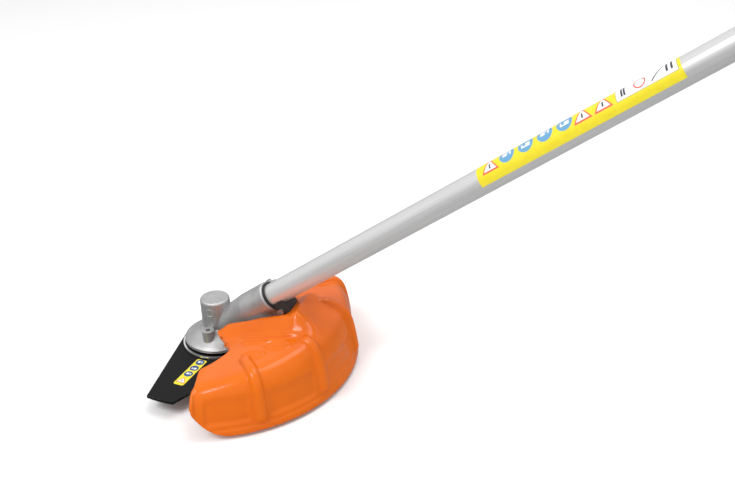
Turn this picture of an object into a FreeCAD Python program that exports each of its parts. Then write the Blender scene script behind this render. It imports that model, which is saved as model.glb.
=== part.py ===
import FreeCAD, Part

import math
import os

from FreeCAD import Placement, Rotation, Vector

# Brush cutter with a straight tube, a bevel gear head and a two-wing blade.
# Millimetres.  Origin: output spin axis at the underside of the riding plate.
# +Z runs up the spin axis, +X towards the operator, +Y to the operator's right.
# Pieces carried by the tube are drawn in tube axes: X along the tube from the
# point where its centre line meets the spin axis, Z square to it and upwards.

os.makedirs("parts", exist_ok=True)

# ---- driving dimensions -----------------------------------------------------
TUBE_ANGLE = 35.5          # slope of the tube above the blade plane, degrees
TUBE_R = 14.0              # drive tube, outside radius
TUBE_WALL = 1.75
TUBE_START = 52.0          # tube ends, measured along the tube
TUBE_END = 1470.0
DRIVE_R = 3.5              # flexible-steel drive shaft, radius
RUN = 0.03                 # radial clearance of a running fit
SEAT = 0.05                # radial clearance of a clamped or glued seat
GAP = 0.3                  # free gap between pieces that do not touch

# cutting stack, from the glide face upwards
RIM_Z = 24.0               # top face of the thrust plate
THRUST_R = 43.0
THRUST_T = 3.5
BLADE_T = 3.0
BLADE_TIP_R = 130.5
BLADE_ROOT_HALF = 47.0
BLADE_TIP_HALF = 17.0
BLADE_ANGLE = -96.2        # direction of the first wing, degrees from +X
BLADE_LABEL_ANGLE = -96.5
BLADE_BORE_R = 12.7
WASHER_R = 30.0
WASHER_T = 2.5
PRESSED_T = 1.5            # sheet of the riding plate
GLIDE_R = 33.0
NUT_AF = 19.0              # across flats
NUT_H = 10.0
SHAFT_R = 6.0              # output shaft, threaded and splined end

# gear head
FLANGE_GAP = 2.5           # air between thrust plate and housing
FLANGE_R = 40.0
APEX_Z = RIM_Z + 18.2      # where the tube centre line meets the spin axis
BOSS_R = 17.6
BOSS_TOP = RIM_Z + 57.9
CHAMBER_R = 15.6
SOCKET_R = 18.6            # cylindrical socket that takes the tube
SOCKET_END = 92.0
SEAL_R = 16.6              # seal ring at the socket mouth
LOCK_HOLE_R = 2.6
LOCK_X, LOCK_Y = -0.5, -24.4
LOCK_LUG_R = 7.2
LOCK_LUG_H = 23.5
LOWER_BEARING = (6.0, 16.0, 10.0)     # bore radius, outside radius, width
UPPER_BEARING = (5.0, 15.0, 9.0)
PINION_BEARING = (5.0, 13.0, 8.0)

# bevel gears
PINION_TEETH = 17
CROWN_TEETH = 23
CROWN_PITCH_R = 13.5
FACE_WIDTH = 7.0

# deflector
GUARD_R = 168.0            # rim radius about the spin axis
GUARD_RIM_Z = RIM_Z - 20.0
GUARD_TOP_Z = RIM_Z + 32.0
GUARD_T = 2.8
GUARD_SLOPE = 0.2          # the top climbs towards the operator
GUARD_LEAN = 13.0          # how far the skirt leans in on its way up, at its left end
SHOULDER = 38.0            # width of the rounded shoulder, in plan
SHOULDER_POWER = 0.42      # how square the shoulder is
GUARD_FROM, GUARD_TO = -74.6, 57.0
GUARD_LIP_Z, GUARD_LIP_SLOPE = 55.5, 0.3
GUARD_CREST_Z = 94.0
# inner edge: share of the way round, then its place in plan
GUARD_EDGE = [(0.0, 31, -108), (0.08, 46, -77), (0.13, 45, -63), (0.22, 17, -34), (0.27, 25, -25),
              (0.41, 62, -21), (0.47, 72, -12), (0.53, 72, 12), (0.6, 60, 21), (0.7, 52, 36),
              (0.84, 58, 58), (1.0, 66, 84)]
GUARD_SEAT_W = -24.0       # hump seat, below the tube centre line
RIB_ANGLES = (-49.0, -19.5, 11.0, 40.0)
RIB_RISE = 3.6
RIB_HALF = 2.4             # half width, degrees

# tube furniture
BRACKET = (94.5, 108.5)    # guard bracket, along the tube
BRACKET_HALF = 12.5
LABEL = (397.0, 625.0)     # film on the tube
LABEL_FROM, LABEL_ARC = 20.0, 169.0   # round the tube, degrees from +Y towards up
FILM_T = 0.15
HANDLE_U = 1030.0          # handlebar clamp, along the tube
BAR_R = 11.0
BAR_W = 44.0               # handlebar centre above the tube centre line
RING_U = 1190.0            # carrying ring

# power head, along the tube
CLUTCH_U = 1452.0
FAN_U = 1516.0
CASE_U = 1541.0
CASE_END = 1591.0
STARTER_U = 1594.0
STARTER_END = 1634.0
CYLINDER_U = 1566.0
CYL_LOW = 34.0             # foot and top of the cylinder above the crank axis
CYL_TOP = 100.0
BORE_R = 19.0
PLATE_R = 56.0

CONE = CROWN_PITCH_R / math.sin(math.atan2(
    math.sin(math.radians(90.0 - TUBE_ANGLE)),
    PINION_TEETH / CROWN_TEETH + math.cos(math.radians(90.0 - TUBE_ANGLE))))
CROWN_DELTA = math.asin(CROWN_PITCH_R / CONE)
PINION_DELTA = math.radians(90.0 - TUBE_ANGLE) - CROWN_DELTA
MODULE = 2.0 * CROWN_PITCH_R / CROWN_TEETH


# ---- helpers ----------------------------------------------------------------
def cyl(radius, low, high, x=0.0, y=0.0):
    return Part.makeCylinder(radius, high - low, Vector(x, y, low))


def ring(outer, inner, low, high, x=0.0, y=0.0):
    return cyl(outer, low, high, x, y).cut(cyl(inner, low - 1.0, high + 1.0, x, y))


def box(x0, x1, y0, y1, z0, z1):
    return Part.makeBox(x1 - x0, y1 - y0, z1 - z0, Vector(x0, y0, z0))


def soft_box(x0, x1, y0, y1, z0, z1, radius):
    solid = box(x0, x1, y0, y1, z0, z1)
    return solid.makeFillet(radius, solid.Edges)


def turned(points):
    """Closed (radius, height) outline turned about Z."""
    loop = [Vector(r, 0, z) for r, z in points]
    face = Part.Face(Part.makePolygon(loop + loop[:1]))
    return face.revolve(Vector(0, 0, 0), Vector(0, 0, 1), 360)


def plate_xz(points, half):
    """Closed (x, z) outline, half its thickness each side of y = 0."""
    loop = [Vector(x, -half, z) for x, z in points]
    return Part.Face(Part.makePolygon(loop + loop[:1])).extrude(Vector(0, 2.0 * half, 0))


def rod_y(radius, y0, y1, x, z):
    return Part.makeCylinder(radius, y1 - y0, Vector(x, y0, z), Vector(0, 1, 0))


def rod_x(radius, x0, x1, y=0.0, z=0.0):
    return Part.makeCylinder(radius, x1 - x0, Vector(x0, y, z), Vector(1, 0, 0))


def pipe_x(outer, inner, x0, x1, y=0.0, z=0.0):
    return rod_x(outer, x0, x1, y, z).cut(rod_x(inner, x0 - 1, x1 + 1, y, z))


def lay(shape):
    """Turn a piece drawn about Z so that its axis lies along the tube."""
    out = shape.copy()
    out.Placement = Placement(Vector(0, 0, 0), Rotation(Vector(0, 1, 0), 90)).multiply(out.Placement)
    return out


def on_tube(shape):
    """Tube axes to the machine's own axes."""
    out = shape.copy()
    seat = Placement(Vector(0, 0, APEX_Z), Rotation(Vector(0, 1, 0), -TUBE_ANGLE))
    out.Placement = seat.multiply(out.Placement)
    return out


def hexagon(flats, low, high):
    corner = flats / math.sqrt(3.0)
    loop = [Vector(corner * math.cos(math.radians(60 * k)), corner * math.sin(math.radians(60 * k)), low)
            for k in range(7)]
    return Part.Face(Part.makePolygon(loop)).extrude(Vector(0, 0, high - low))


def cap_screw(head_r, head_h, shank_r, length):
    """Socket-head screw along -Z, underside of the head at z = 0."""
    screw = cyl(head_r, 0, head_h).fuse(cyl(shank_r, -length, 0))
    return screw.cut(hexagon(head_r, head_h * 0.45, head_h + 1))


def aim(shape, point, direction):
    """Move a piece drawn along Z to a point, its Z turned to the direction."""
    out = shape.copy()
    turn = Rotation(Vector(0, 0, 1), Vector(*direction))
    out.Placement = Placement(Vector(*point), turn).multiply(out.Placement)
    return out


def rounded_path(points, radii):
    """Straight runs joined by tangent arcs of the given radii."""
    spots = [Vector(*p) for p in points]
    edges = []
    start = spots[0]
    for before, corner, after, radius in zip(spots, spots[1:], spots[2:], radii):
        into = (before - corner).normalize()
        away = (after - corner).normalize()
        half = into.getAngle(away) / 2.0
        reach = radius / math.tan(half)
        first = corner + into * reach
        last = corner + away * reach
        middle = corner + (into + away).normalize() * (radius / math.sin(half) - radius)
        edges.append(Part.LineSegment(start, first).toShape())
        edges.append(Part.Arc(first, middle, last).toShape())
        start = last
    edges.append(Part.LineSegment(start, spots[-1]).toShape())
    return Part.Wire(edges)


def swept(path, radius):
    start = path.Edges[0]
    profile = Part.Wire(Part.makeCircle(radius, start.valueAt(start.FirstParameter),
                                        start.tangentAt(start.FirstParameter)))
    return path.makePipeShell([profile], True, False)


def save(name, shape):
    if not shape.isValid():
        print("not valid:", name)
    shape.exportStep("parts/" + name + ".step")


# ---- bevel gears ------------------------------------------------------------
def bevel_gear(teeth, delta, phase, back):
    """Bevel gear about Z, apex at the origin, teeth tapering towards it."""
    height = CONE * math.cos(delta)
    tip = height * math.tan(delta + math.atan(0.9 * MODULE / CONE))
    root = height * math.tan(delta - math.atan(1.25 * MODULE / CONE))
    pitch = 2.0 * math.pi / teeth
    loop = []
    for k in range(teeth):
        centre = phase + k * pitch
        for share, radius in ((-0.30, root), (-0.10, tip), (0.10, tip), (0.30, root)):
            angle = centre + share * pitch
            loop.append(Vector(radius * math.cos(angle), radius * math.sin(angle), height))
    inner = (CONE - FACE_WIDTH) / CONE
    outer_wire = Part.makePolygon(loop + loop[:1])
    small = [point * inner for point in loop]
    inner_wire = Part.makePolygon(small + small[:1])
    cut_teeth = Part.makeLoft([inner_wire, outer_wire], True, True)
    return cut_teeth.fuse(Part.makeCone(root, root * 0.86, back, Vector(0, 0, height)))


CROWN_BACK = 4.0
PINION_BACK = 3.0
CROWN_TOP = APEX_Z + CONE * math.cos(CROWN_DELTA) + CROWN_BACK
CROWN_FOOT = APEX_Z + (CONE - FACE_WIDTH) * math.cos(CROWN_DELTA)
PINION_TOP = CONE * math.cos(PINION_DELTA) + PINION_BACK
HUB_R = 5.5                # output shaft inside the crown gear


def crown_gear():
    gear = bevel_gear(CROWN_TEETH, CROWN_DELTA, 0.0, CROWN_BACK)
    gear.translate(Vector(0, 0, APEX_Z))
    return gear.cut(cyl(HUB_R, 0, 200))


def pinion():
    """Pinion with its own shaft, bored at the end for the drive shaft."""
    gear = bevel_gear(PINION_TEETH, PINION_DELTA, 0.0, PINION_BACK)
    gear = gear.fuse(cyl(PINION_BEARING[0] - RUN, PINION_TOP - 1.0, TUBE_START + 4.0))
    return on_tube(lay(gear.cut(cyl(DRIVE_R, TUBE_START - 14.0, TUBE_START + 5.0))))


# ---- gear head --------------------------------------------------------------
LOWER_SEAT = RIM_Z + 4.5
LOWER_TOP = LOWER_SEAT + LOWER_BEARING[2]
UPPER_SEAT = CROWN_TOP + 0.5
UPPER_TOP = UPPER_SEAT + UPPER_BEARING[2]
PINION_SEAT = PINION_TOP + 0.5
PINION_SEAT_END = PINION_SEAT + 2.0 * PINION_BEARING[2]
CIRCLIP_T = 1.2
EAR_HALF = 6.0             # cast ear that carries the guard bracket
EAR_W = (-23.0, -14.0)
EAR_HOLE_U = 99.0
EAR_HOLE_W = -19.0
CLAMP_U = (68.0, 84.0)     # clamp screws of the socket


def gear_housing():
    base = RIM_Z + FLANGE_GAP
    dome = turned([(0, base), (FLANGE_R - 1, base), (FLANGE_R, base + 1), (FLANGE_R, base + 4),
                   (FLANGE_R - 3, base + 6.5), (30, base + 10), (22, base + 14), (17, base + 20), (0, base + 20)])
    boss = cyl(BOSS_R, base, BOSS_TOP)
    boss = boss.makeFillet(3.0, [e for e in boss.Edges if abs(e.CenterOfMass.z - BOSS_TOP) < 0.01
                                 and e.Curve.TypeId == "Part::GeomCircle"])
    arm = lay(turned([(0, 6), (15.4, 6), (16.2, 30), (SOCKET_R, 56), (SOCKET_R, SOCKET_END - 1.5),
                      (SOCKET_R - 1.5, SOCKET_END), (0, SOCKET_END)]))
    web = plate_xz([(0, base), (FLANGE_R - 3, base), (60, RIM_Z + 40), (30, RIM_Z + 34)], 6.0)
    ear = box(70, EAR_HOLE_U + 6, -EAR_HALF, EAR_HALF, *EAR_W)
    clamp = box(CLAMP_U[0] - 7, CLAMP_U[1] + 7, 8, 27, -9, 9)
    lug = cyl(LOCK_LUG_R, base, base + LOCK_LUG_H, LOCK_X, LOCK_Y)
    plug_pad = rod_y(8.0, 10.0, 20.0, 0, RIM_Z + 32)
    body = boss.fuse([dome, on_tube(arm), web, on_tube(ear), on_tube(clamp), lug, plug_pad])
    lower = cyl(LOWER_BEARING[1], base - 1, LOWER_TOP)
    groove = cyl(LOWER_BEARING[1] + 1.2, LOWER_SEAT - CIRCLIP_T - 0.1, LOWER_SEAT)
    upper = cyl(UPPER_BEARING[1], UPPER_SEAT - 1, UPPER_TOP)
    chamber = cyl(CHAMBER_R, LOWER_TOP - 1, UPPER_SEAT)
    bores = turned([(0, 9), (12.7, 9), (12.7, PINION_SEAT), (PINION_BEARING[1], PINION_SEAT),
                    (PINION_BEARING[1], PINION_SEAT_END), (PINION_BEARING[1] + 1, PINION_SEAT_END),
                    (PINION_BEARING[1] + 1, PINION_SEAT_END + CIRCLIP_T + 0.1),
                    (PINION_BEARING[1], PINION_SEAT_END + CIRCLIP_T + 0.1), (PINION_BEARING[1], TUBE_START),
                    (TUBE_R + SEAT, TUBE_START), (TUBE_R + SEAT, SOCKET_END + 1), (0, SOCKET_END + 1)])
    slit = box(CLAMP_U[0] - 9, SOCKET_END + 1, 12, 30, -1, 1)
    screws = [cyl(2.6, -10, 10, u, 21.5) for u in CLAMP_U]
    ear_hole = rod_y(2.6, -20, 20, EAR_HOLE_U, EAR_HOLE_W)
    tube_way = rod_x(TUBE_R + GAP, SOCKET_END, EAR_HOLE_U + 10)
    tube_way = tube_way.fuse(rod_x(SEAL_R + GAP, SOCKET_END, BRACKET[0]))
    body = body.cut([lower, groove, upper, chamber, on_tube(lay(bores)), on_tube(slit), on_tube(ear_hole),
                     on_tube(tube_way), rod_y(4.0, 5, 25, 0, RIM_Z + 32)] + [on_tube(s) for s in screws])
    return body.cut(cyl(LOCK_HOLE_R, base - 1, base + LOCK_LUG_H + 1, LOCK_X, LOCK_Y))


def grease_plug():
    plug = cyl(6.0, 0, 3.5).fuse(cyl(4.0, -3.5, 0)).cut(hexagon(6.0, 1.5, 4))
    return aim(plug, (0, 20.0, RIM_Z + 32), (0, 1, 0))


def output_shaft():
    foot = RIM_Z - THRUST_T - BLADE_T - WASHER_T - PRESSED_T - NUT_H
    return turned([(0, foot), (SHAFT_R - 0.8, foot), (SHAFT_R, foot + 0.8), (SHAFT_R, LOWER_TOP),
                   (SHAFT_R + 1.5, LOWER_TOP), (SHAFT_R + 1.5, CROWN_FOOT), (HUB_R, CROWN_FOOT),
                   (HUB_R, CROWN_TOP), (UPPER_BEARING[0], CROWN_TOP), (UPPER_BEARING[0], UPPER_TOP - 0.5),
                   (0, UPPER_TOP - 0.5)]).cut(cyl(2.5, 0, foot + 8))


def bearing_ring(spec, low):
    """Sealed ball bearing as one ring with its shield grooves."""
    bore, outer, width = spec
    body = ring(outer - SEAT, bore + RUN, low, low + width)
    third = (outer - bore) / 3.0
    for face in (low - 1.0, low + width - 0.5):
        body = body.cut(ring(outer - third * 0.7, bore + third * 0.7, face, face + 1.5))
    return body


def head_bearings():
    """Two bearings of the output shaft and two of the pinion."""
    output = [bearing_ring(LOWER_BEARING, LOWER_SEAT), bearing_ring(UPPER_BEARING, UPPER_SEAT)]
    pair = [bearing_ring(PINION_BEARING, PINION_SEAT + k * PINION_BEARING[2]) for k in range(2)]
    return Part.makeCompound(output + [on_tube(lay(one)) for one in pair])


def circlip(outer, inner, low):
    clip = ring(outer, inner, low, low + CIRCLIP_T)
    return clip.cut(box(0, outer + 2, -3, 3, low - 1, low + CIRCLIP_T + 1))


def circlips():
    lower = circlip(LOWER_BEARING[1] + 1.1, LOWER_BEARING[1] - 2.5, LOWER_SEAT - CIRCLIP_T)
    upper = on_tube(lay(circlip(PINION_BEARING[1] + 0.9, PINION_BEARING[1] - 2.5, PINION_SEAT_END)))
    return Part.makeCompound([lower, upper])


def thrust_plate():
    low = RIM_Z - THRUST_T
    plate = turned([(SHAFT_R, low - BLADE_T + 0.4), (BLADE_BORE_R - RUN, low - BLADE_T + 0.4),
                    (BLADE_BORE_R - RUN, low), (THRUST_R - 1, low), (THRUST_R, low + 1), (THRUST_R, RIM_Z),
                    (THRUST_R - 2.5, RIM_Z), (THRUST_R - 4, RIM_Z - 1), (14, RIM_Z - 1), (11, RIM_Z),
                    (9, LOWER_SEAT), (SHAFT_R, LOWER_SEAT)])
    reach = math.hypot(LOCK_X, LOCK_Y)
    start = math.atan2(LOCK_Y, LOCK_X)
    holes = [cyl(LOCK_HOLE_R, low - 5, RIM_Z + 5, reach * math.cos(start + k * math.pi / 2),
                 reach * math.sin(start + k * math.pi / 2)) for k in range(4)]
    return plate.cut(holes)


BLADE_TOP = RIM_Z - THRUST_T


def blade():
    """Two straight wings with their tips cut round and the cutting corners bevelled."""
    wing = [(0, BLADE_ROOT_HALF), (108, 25), (130, BLADE_TIP_HALF), (BLADE_TIP_R + 3, 12),
            (BLADE_TIP_R + 3, -12), (131, -BLADE_TIP_HALF), (0, -BLADE_ROOT_HALF)]
    half = Part.makePolygon([Vector(x, y, BLADE_TOP - BLADE_T) for x, y in wing + wing[:1]])
    steel = Part.Face(half).extrude(Vector(0, 0, BLADE_T))
    edge = [(22, 44.6), (131, 17), (131, 30), (22, 60)]
    bevel = Part.Face(Part.makePolygon([Vector(x, y, BLADE_TOP) for x, y in edge + edge[:1]]))
    bevel = bevel.extrude(Vector(0, 0, 4))
    bevel.rotate(Vector(22, 39.5, BLADE_TOP), Vector(109, -26, 0), 22)
    steel = steel.cut(bevel)
    other = steel.copy()
    other.rotate(Vector(0, 0, 0), Vector(0, 0, 1), 180)
    steel = steel.fuse(other).common(cyl(BLADE_TIP_R, 0, 60)).cut(cyl(BLADE_BORE_R, 0, 60)).removeSplitter()
    steel.rotate(Vector(0, 0, 0), Vector(0, 0, 1), BLADE_ANGLE)
    return steel


def blade_label():
    """Printed film on the near wing."""
    film = box(45, 98, -2.4, 11.0, BLADE_TOP, BLADE_TOP + FILM_T)
    film = film.makeFillet(2.5, [e for e in film.Edges if abs(e.tangentAt(e.FirstParameter).z) > 0.9])
    film.rotate(Vector(0, 0, 0), Vector(0, 0, 1), BLADE_LABEL_ANGLE)
    return film


def thrust_washer():
    top = BLADE_TOP - BLADE_T
    return turned([(SHAFT_R, top - WASHER_T), (18, top - WASHER_T), (WASHER_R, top - 1.2), (WASHER_R, top),
                   (14, top), (13, top - 0.6), (SHAFT_R, top - 0.6)])


SEAT_Z = RIM_Z - THRUST_T - BLADE_T - WASHER_T


def riding_plate():
    t = PRESSED_T
    return turned([(SHAFT_R, SEAT_Z), (17, SEAT_Z), (17 + t, SEAT_Z - t), (23.5, t), (GLIDE_R - 1, t),
                   (GLIDE_R + 4, 8), (GLIDE_R + 5.3, 7.2), (GLIDE_R, 0), (22.2, 0), (16.6, SEAT_Z - t),
                   (SHAFT_R, SEAT_Z - t)])


def arbor_nut():
    top = SEAT_Z - PRESSED_T
    nut = hexagon(NUT_AF, top - NUT_H, top).fuse(cyl(13.0, top - 2.5, top))
    return nut.cut(cyl(SHAFT_R, 0, top + 1))


# ---- deflector --------------------------------------------------------------
def smooth(value):
    t = min(1.0, max(0.0, value))
    return t * t * (3.0 - 2.0 * t)


def guard_edge(share):
    """Inner edge in plan: round the head, up to the arm, under the tube and back down the far side."""
    last = len(GUARD_EDGE) - 1
    here = max(k for k in range(last) if GUARD_EDGE[k][0] <= share)
    ends = [Vector(x, y, 0) for _, x, y in GUARD_EDGE]
    marks = [mark for mark, _, _ in GUARD_EDGE]
    slopes = []
    for k in (here, here + 1):
        before, after = max(k - 1, 0), min(k + 1, last)
        slopes.append((ends[after] - ends[before]) * (1.0 / (marks[after] - marks[before])))
    span = marks[here + 1] - marks[here]
    t = (share - marks[here]) / span
    return (ends[here] * (2 * t ** 3 - 3 * t ** 2 + 1) + slopes[0] * (span * (t ** 3 - 2 * t ** 2 + t))
            + ends[here + 1] * (3 * t ** 2 - 2 * t ** 3) + slopes[1] * (span * (t ** 3 - t ** 2)))


def rounded_end(distance, length, height):
    """How far a corner with an elliptical rounding lifts off the rim line."""
    return height * (1.0 - math.sqrt(max(0.0, 1.0 - (1.0 - min(1.0, distance / length)) ** 2)))


def guard_rise(x, y):
    """Height of the top face: a tilted plane, a seat under the tube and a lip on each side of it."""
    base = GUARD_TOP_Z + GUARD_SLOPE * max(0.0, x - 38.0)
    seat = APEX_Z + x * math.tan(math.radians(TUBE_ANGLE)) + GUARD_SEAT_W / math.cos(math.radians(TUBE_ANGLE))
    low = max(base, min(seat, GUARD_CREST_Z))
    high = max(low, GUARD_LIP_Z + GUARD_LIP_SLOPE * x)
    side = abs(y)
    level = low + (high - low) * smooth((side - 14.0) / 6.0)
    hump = (1.0 - smooth((side - 20.0) / 26.0)) * (1.0 - smooth((x - 110.0) / 40.0)) * smooth((x - 14.0) / 14.0)
    return base, (level - base) * hump


def guard_point(share, down):
    """Outer face: from the inner edge (0) flat to the knee (half) and over the shoulder to the rim (1)."""
    angle = GUARD_FROM + (GUARD_TO - GUARD_FROM) * share
    lean = GUARD_LEAN - 0.05 * (angle - GUARD_FROM)
    rim = GUARD_RIM_Z + rounded_end(math.radians(angle - GUARD_FROM) * GUARD_R, 44.0, 38.0)
    rim += rounded_end(math.radians(GUARD_TO - angle) * GUARD_R, 24.0, 24.0)
    turn = math.radians(90.0 * (1.0 - max(0.0, 2.0 * down - 1.0)))
    flat = max(0.0, math.cos(turn)) ** SHOULDER_POWER if down > 0.5 else 0.0
    lift = max(0.0, math.sin(turn)) ** SHOULDER_POWER
    ray = Vector(math.cos(math.radians(angle)), math.sin(math.radians(angle)), 0)
    if down < 0.5:
        edge = guard_edge(share)
        knee = ray * (GUARD_R - lean - SHOULDER)
        spot = edge + (knee - edge) * (2.0 * down)
    else:
        spot = ray * (GUARD_R - lean * lift - SHOULDER * (1.0 - flat))
    base, hump = guard_rise(spot.x, spot.y)
    return Vector(spot.x, spot.y, rim + (base - rim) * lift + hump * lift)


def guard_surface(offset):
    shares = [k / 96.0 for k in range(97)]
    downs = [0.0, 0.02, 0.1, 0.2, 0.3, 0.4, 0.48, 0.5, 0.505, 0.52, 0.55, 0.6, 0.65, 0.7, 0.75, 0.8, 0.85, 0.9,
             0.95, 0.98, 0.995, 1.0]
    step = 0.004
    rows = []
    for share in shares:
        row = []
        angle = GUARD_FROM + (GUARD_TO - GUARD_FROM) * share
        for down in downs:
            point = guard_point(share, down)
            across = guard_point(min(share + step, 1.0), down) - guard_point(max(share - step, 0.0), down)
            along = guard_point(share, min(down + step, 0.9995)) - guard_point(share, max(down - step, 0.0))
            normal = along.cross(across).normalize()
            rib = sum(math.exp(-((angle - at) / RIB_HALF) ** 4) for at in RIB_ANGLES)
            rise = RIB_RISE * rib * smooth((down - 0.48) / 0.07) * (1.0 - smooth((down - 0.93) / 0.06))
            row.append(point + normal * (rise - offset))
        rows.append(row)
    return cubic_surface(rows)


def cubic_surface(poles):
    """Clamped cubic surface with an even run of knots over a grid of poles."""
    ends = [len(poles), len(poles[0])]
    mults = [[4] + [1] * (count - 4) + [4] for count in ends]
    knots = [[float(k) for k in range(count - 2)] for count in ends]
    surface = Part.BSplineSurface()
    surface.buildFromPolesMultsKnots(poles, mults[0], mults[1], knots[0], knots[1], False, False, 3, 3)
    return surface


def shell_solid(outer, inner):
    """Closed solid between two surfaces that share their parameters."""
    faces = [outer.toShape(), inner.toShape()]
    for which in range(4):
        faces.append(Part.makeRuledSurface(border(outer, which), border(inner, which)))
    shell = Part.Shell(Part.makeShell(faces).Faces)
    shell.sewShape()
    solid = Part.Solid(Part.Shell(shell.Faces))
    if solid.Volume < 0:
        solid.reverse()
    return solid


def border(surface, which):
    u0, u1, v0, v1 = surface.bounds()
    curves = (lambda: surface.uIso(u0), lambda: surface.uIso(u1), lambda: surface.vIso(v0),
              lambda: surface.vIso(v1))
    return curves[which]().toShape()


GUARD_SCREWS = [(104.8, 9.2), (104.8, -9.2)]


def deflector():
    shell = shell_solid(guard_surface(0.0), guard_surface(GUARD_T))
    under = GUARD_SEAT_W - GUARD_T - GAP / 2.0
    holes = [on_tube(cyl(2.2, GUARD_SEAT_W - 12, GUARD_SEAT_W + 6, u, y)) for u, y in GUARD_SCREWS]
    holes += [on_tube(cyl(4.0 + GAP, under - 8, under, u, y)) for u, y in GUARD_SCREWS]
    return shell.cut(holes)


def guard_bracket():
    """Moulded block that straddles the cast ear and carries the deflector."""
    block = box(BRACKET[0], BRACKET[1], -BRACKET_HALF, BRACKET_HALF, GUARD_SEAT_W + GAP, -4)
    slot = box(BRACKET[0] - 5, EAR_HOLE_U + 7, -EAR_HALF - GAP, EAR_HALF + GAP, -40, -8)
    cuts = [rod_x(TUBE_R + GAP, 80, 140), slot, rod_y(2.6, -20, 20, EAR_HOLE_U, EAR_HOLE_W)]
    cuts += [cyl(1.8, GUARD_SEAT_W - 1, GUARD_SEAT_W + 8, u, y) for u, y in GUARD_SCREWS]
    return on_tube(block.cut(cuts))


def guard_screws():
    """One cross screw through the ear and two screws up through the deflector."""
    cross = aim(cap_screw(3.6, 3.5, 2.5, 2.0 * BRACKET_HALF), (EAR_HOLE_U, -BRACKET_HALF, EAR_HOLE_W), (0, -1, 0))
    ups = [aim(cap_screw(4.0, 2.5, 1.75, 8.0), (u, y, GUARD_SEAT_W - GUARD_T - GAP), (0, 0, -1))
           for u, y in GUARD_SCREWS]
    return on_tube(Part.makeCompound([cross] + ups))


# ---- tube -------------------------------------------------------------------
def shaft_tube():
    return on_tube(pipe_x(TUBE_R, TUBE_R - TUBE_WALL, TUBE_START, TUBE_END))


def drive_shaft():
    return on_tube(rod_x(DRIVE_R, TUBE_START - 14.0, TUBE_END + 14.0))


def drive_bushes():
    sites = [150.0 + k * 250.0 for k in range(6)]
    rings = [pipe_x(TUBE_R - TUBE_WALL - SEAT, DRIVE_R + RUN, u - 12, u + 12) for u in sites]
    return on_tube(Part.makeCompound(rings))


def socket_seal():
    return on_tube(pipe_x(SEAL_R, TUBE_R + SEAT, SOCKET_END, SOCKET_END + 2.2))


def tube_label():
    """Printed film over the top and the left flank of the tube."""
    film = pipe_x(TUBE_R + FILM_T + SEAT, TUBE_R + SEAT, *LABEL)
    keep = Part.makeCylinder(40, LABEL[1] - LABEL[0] + 2, Vector(LABEL[0] - 1, 0, 0), Vector(1, 0, 0), LABEL_ARC)
    keep.rotate(Vector(0, 0, 0), Vector(1, 0, 0), LABEL_FROM - keep_start(keep))
    return on_tube(film.common(keep))


def keep_start(wedge):
    """Angle from +Y at which a slice of a cylinder about X begins."""
    centre = wedge.CenterOfMass
    return math.degrees(math.atan2(centre.z, centre.y)) - LABEL_ARC / 2.0


def tube_clamp_screws():
    """Every screw that closes something on the tube: socket, ring, handle base, power head."""
    socket = [aim(cap_screw(4.3, 4.0, 2.5, 17.0), (u, 21.5, 9), (0, 0, 1)) for u in CLAMP_U]
    ears = [aim(cap_screw(4.5, 4.0, 2.5, 18.0), (u, -9, -24), (0, -1, 0)) for u in (RING_U, ENGINE_SCREW_U)]
    handle = [aim(cap_screw(4.3, 4.0, 2.5, 38.0), (HANDLE_U + u, y, -21), (0, 0, -1))
              for u in (-14, 14) for y in (-21, 21)]
    return on_tube(Part.makeCompound(socket + ears + handle))


# ---- carrying ring and handlebar --------------------------------------------
RING_HALF = 9.0
EYE_W = 36.0
EYE_R = 7.0


def carrying_ring():
    collar = pipe_x(TUBE_R + 4, TUBE_R - 1, RING_U - RING_HALF, RING_U + RING_HALF)
    ears = box(RING_U - RING_HALF, RING_U + RING_HALF, -9, 9, -32, -15)
    eye = rod_y(EYE_R + 5, -3, 3, RING_U, EYE_W).fuse(box(RING_U - 8, RING_U + 8, -3, 3, 15, EYE_W))
    body = collar.fuse([ears, eye])
    return on_tube(body.cut([box(RING_U - 20, RING_U + 20, -1.2, 1.2, -40, -10), tube_room(RING_U),
                             rod_y(EYE_R, -9, 9, RING_U, EYE_W), rod_y(2.6, -20, 20, RING_U, -24)]))


BASE_TOP = 28.0            # top of the handle base above the tube centre line
CLAMP_HALF = 22.0
SWIVEL_R = 5.0


def tube_room(middle):
    """The room that a clamp on the tube leaves for it."""
    return rod_x(TUBE_R + SEAT, middle - 100.0, middle + 100.0)


def handle_base():
    """Two-bolt clamp block on the tube with the swivel post on top."""
    block = box(HANDLE_U - CLAMP_HALF, HANDLE_U + CLAMP_HALF, -28, 28, 0.5, BASE_TOP)
    block = block.makeFillet(4.0, [e for e in block.Edges if abs(e.tangentAt(e.FirstParameter).z) > 0.9])
    post = cyl(SWIVEL_R, BASE_TOP, BAR_W - BAR_R - 1.0, HANDLE_U)
    holes = [cyl(2.6, -10, 30, HANDLE_U + u, y) for u in (-14, 14) for y in (-21, 21)]
    return on_tube(block.fuse(post).cut([tube_room(HANDLE_U)] + holes))


def handle_under_clamp():
    block = box(HANDLE_U - CLAMP_HALF, HANDLE_U + CLAMP_HALF, -28, 28, -21, -0.5)
    block = block.makeFillet(4.0, [e for e in block.Edges if abs(e.tangentAt(e.FirstParameter).z) > 0.9])
    holes = [cyl(2.6, -30, 30, HANDLE_U + u, y) for u in (-14, 14) for y in (-21, 21)]
    return on_tube(block.cut([tube_room(HANDLE_U)] + holes))


CLAMP_LOW = BASE_TOP + GAP
CLAMP_SPLIT = BAR_W
CLAMP_TOP = BAR_W + 19.0


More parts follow.
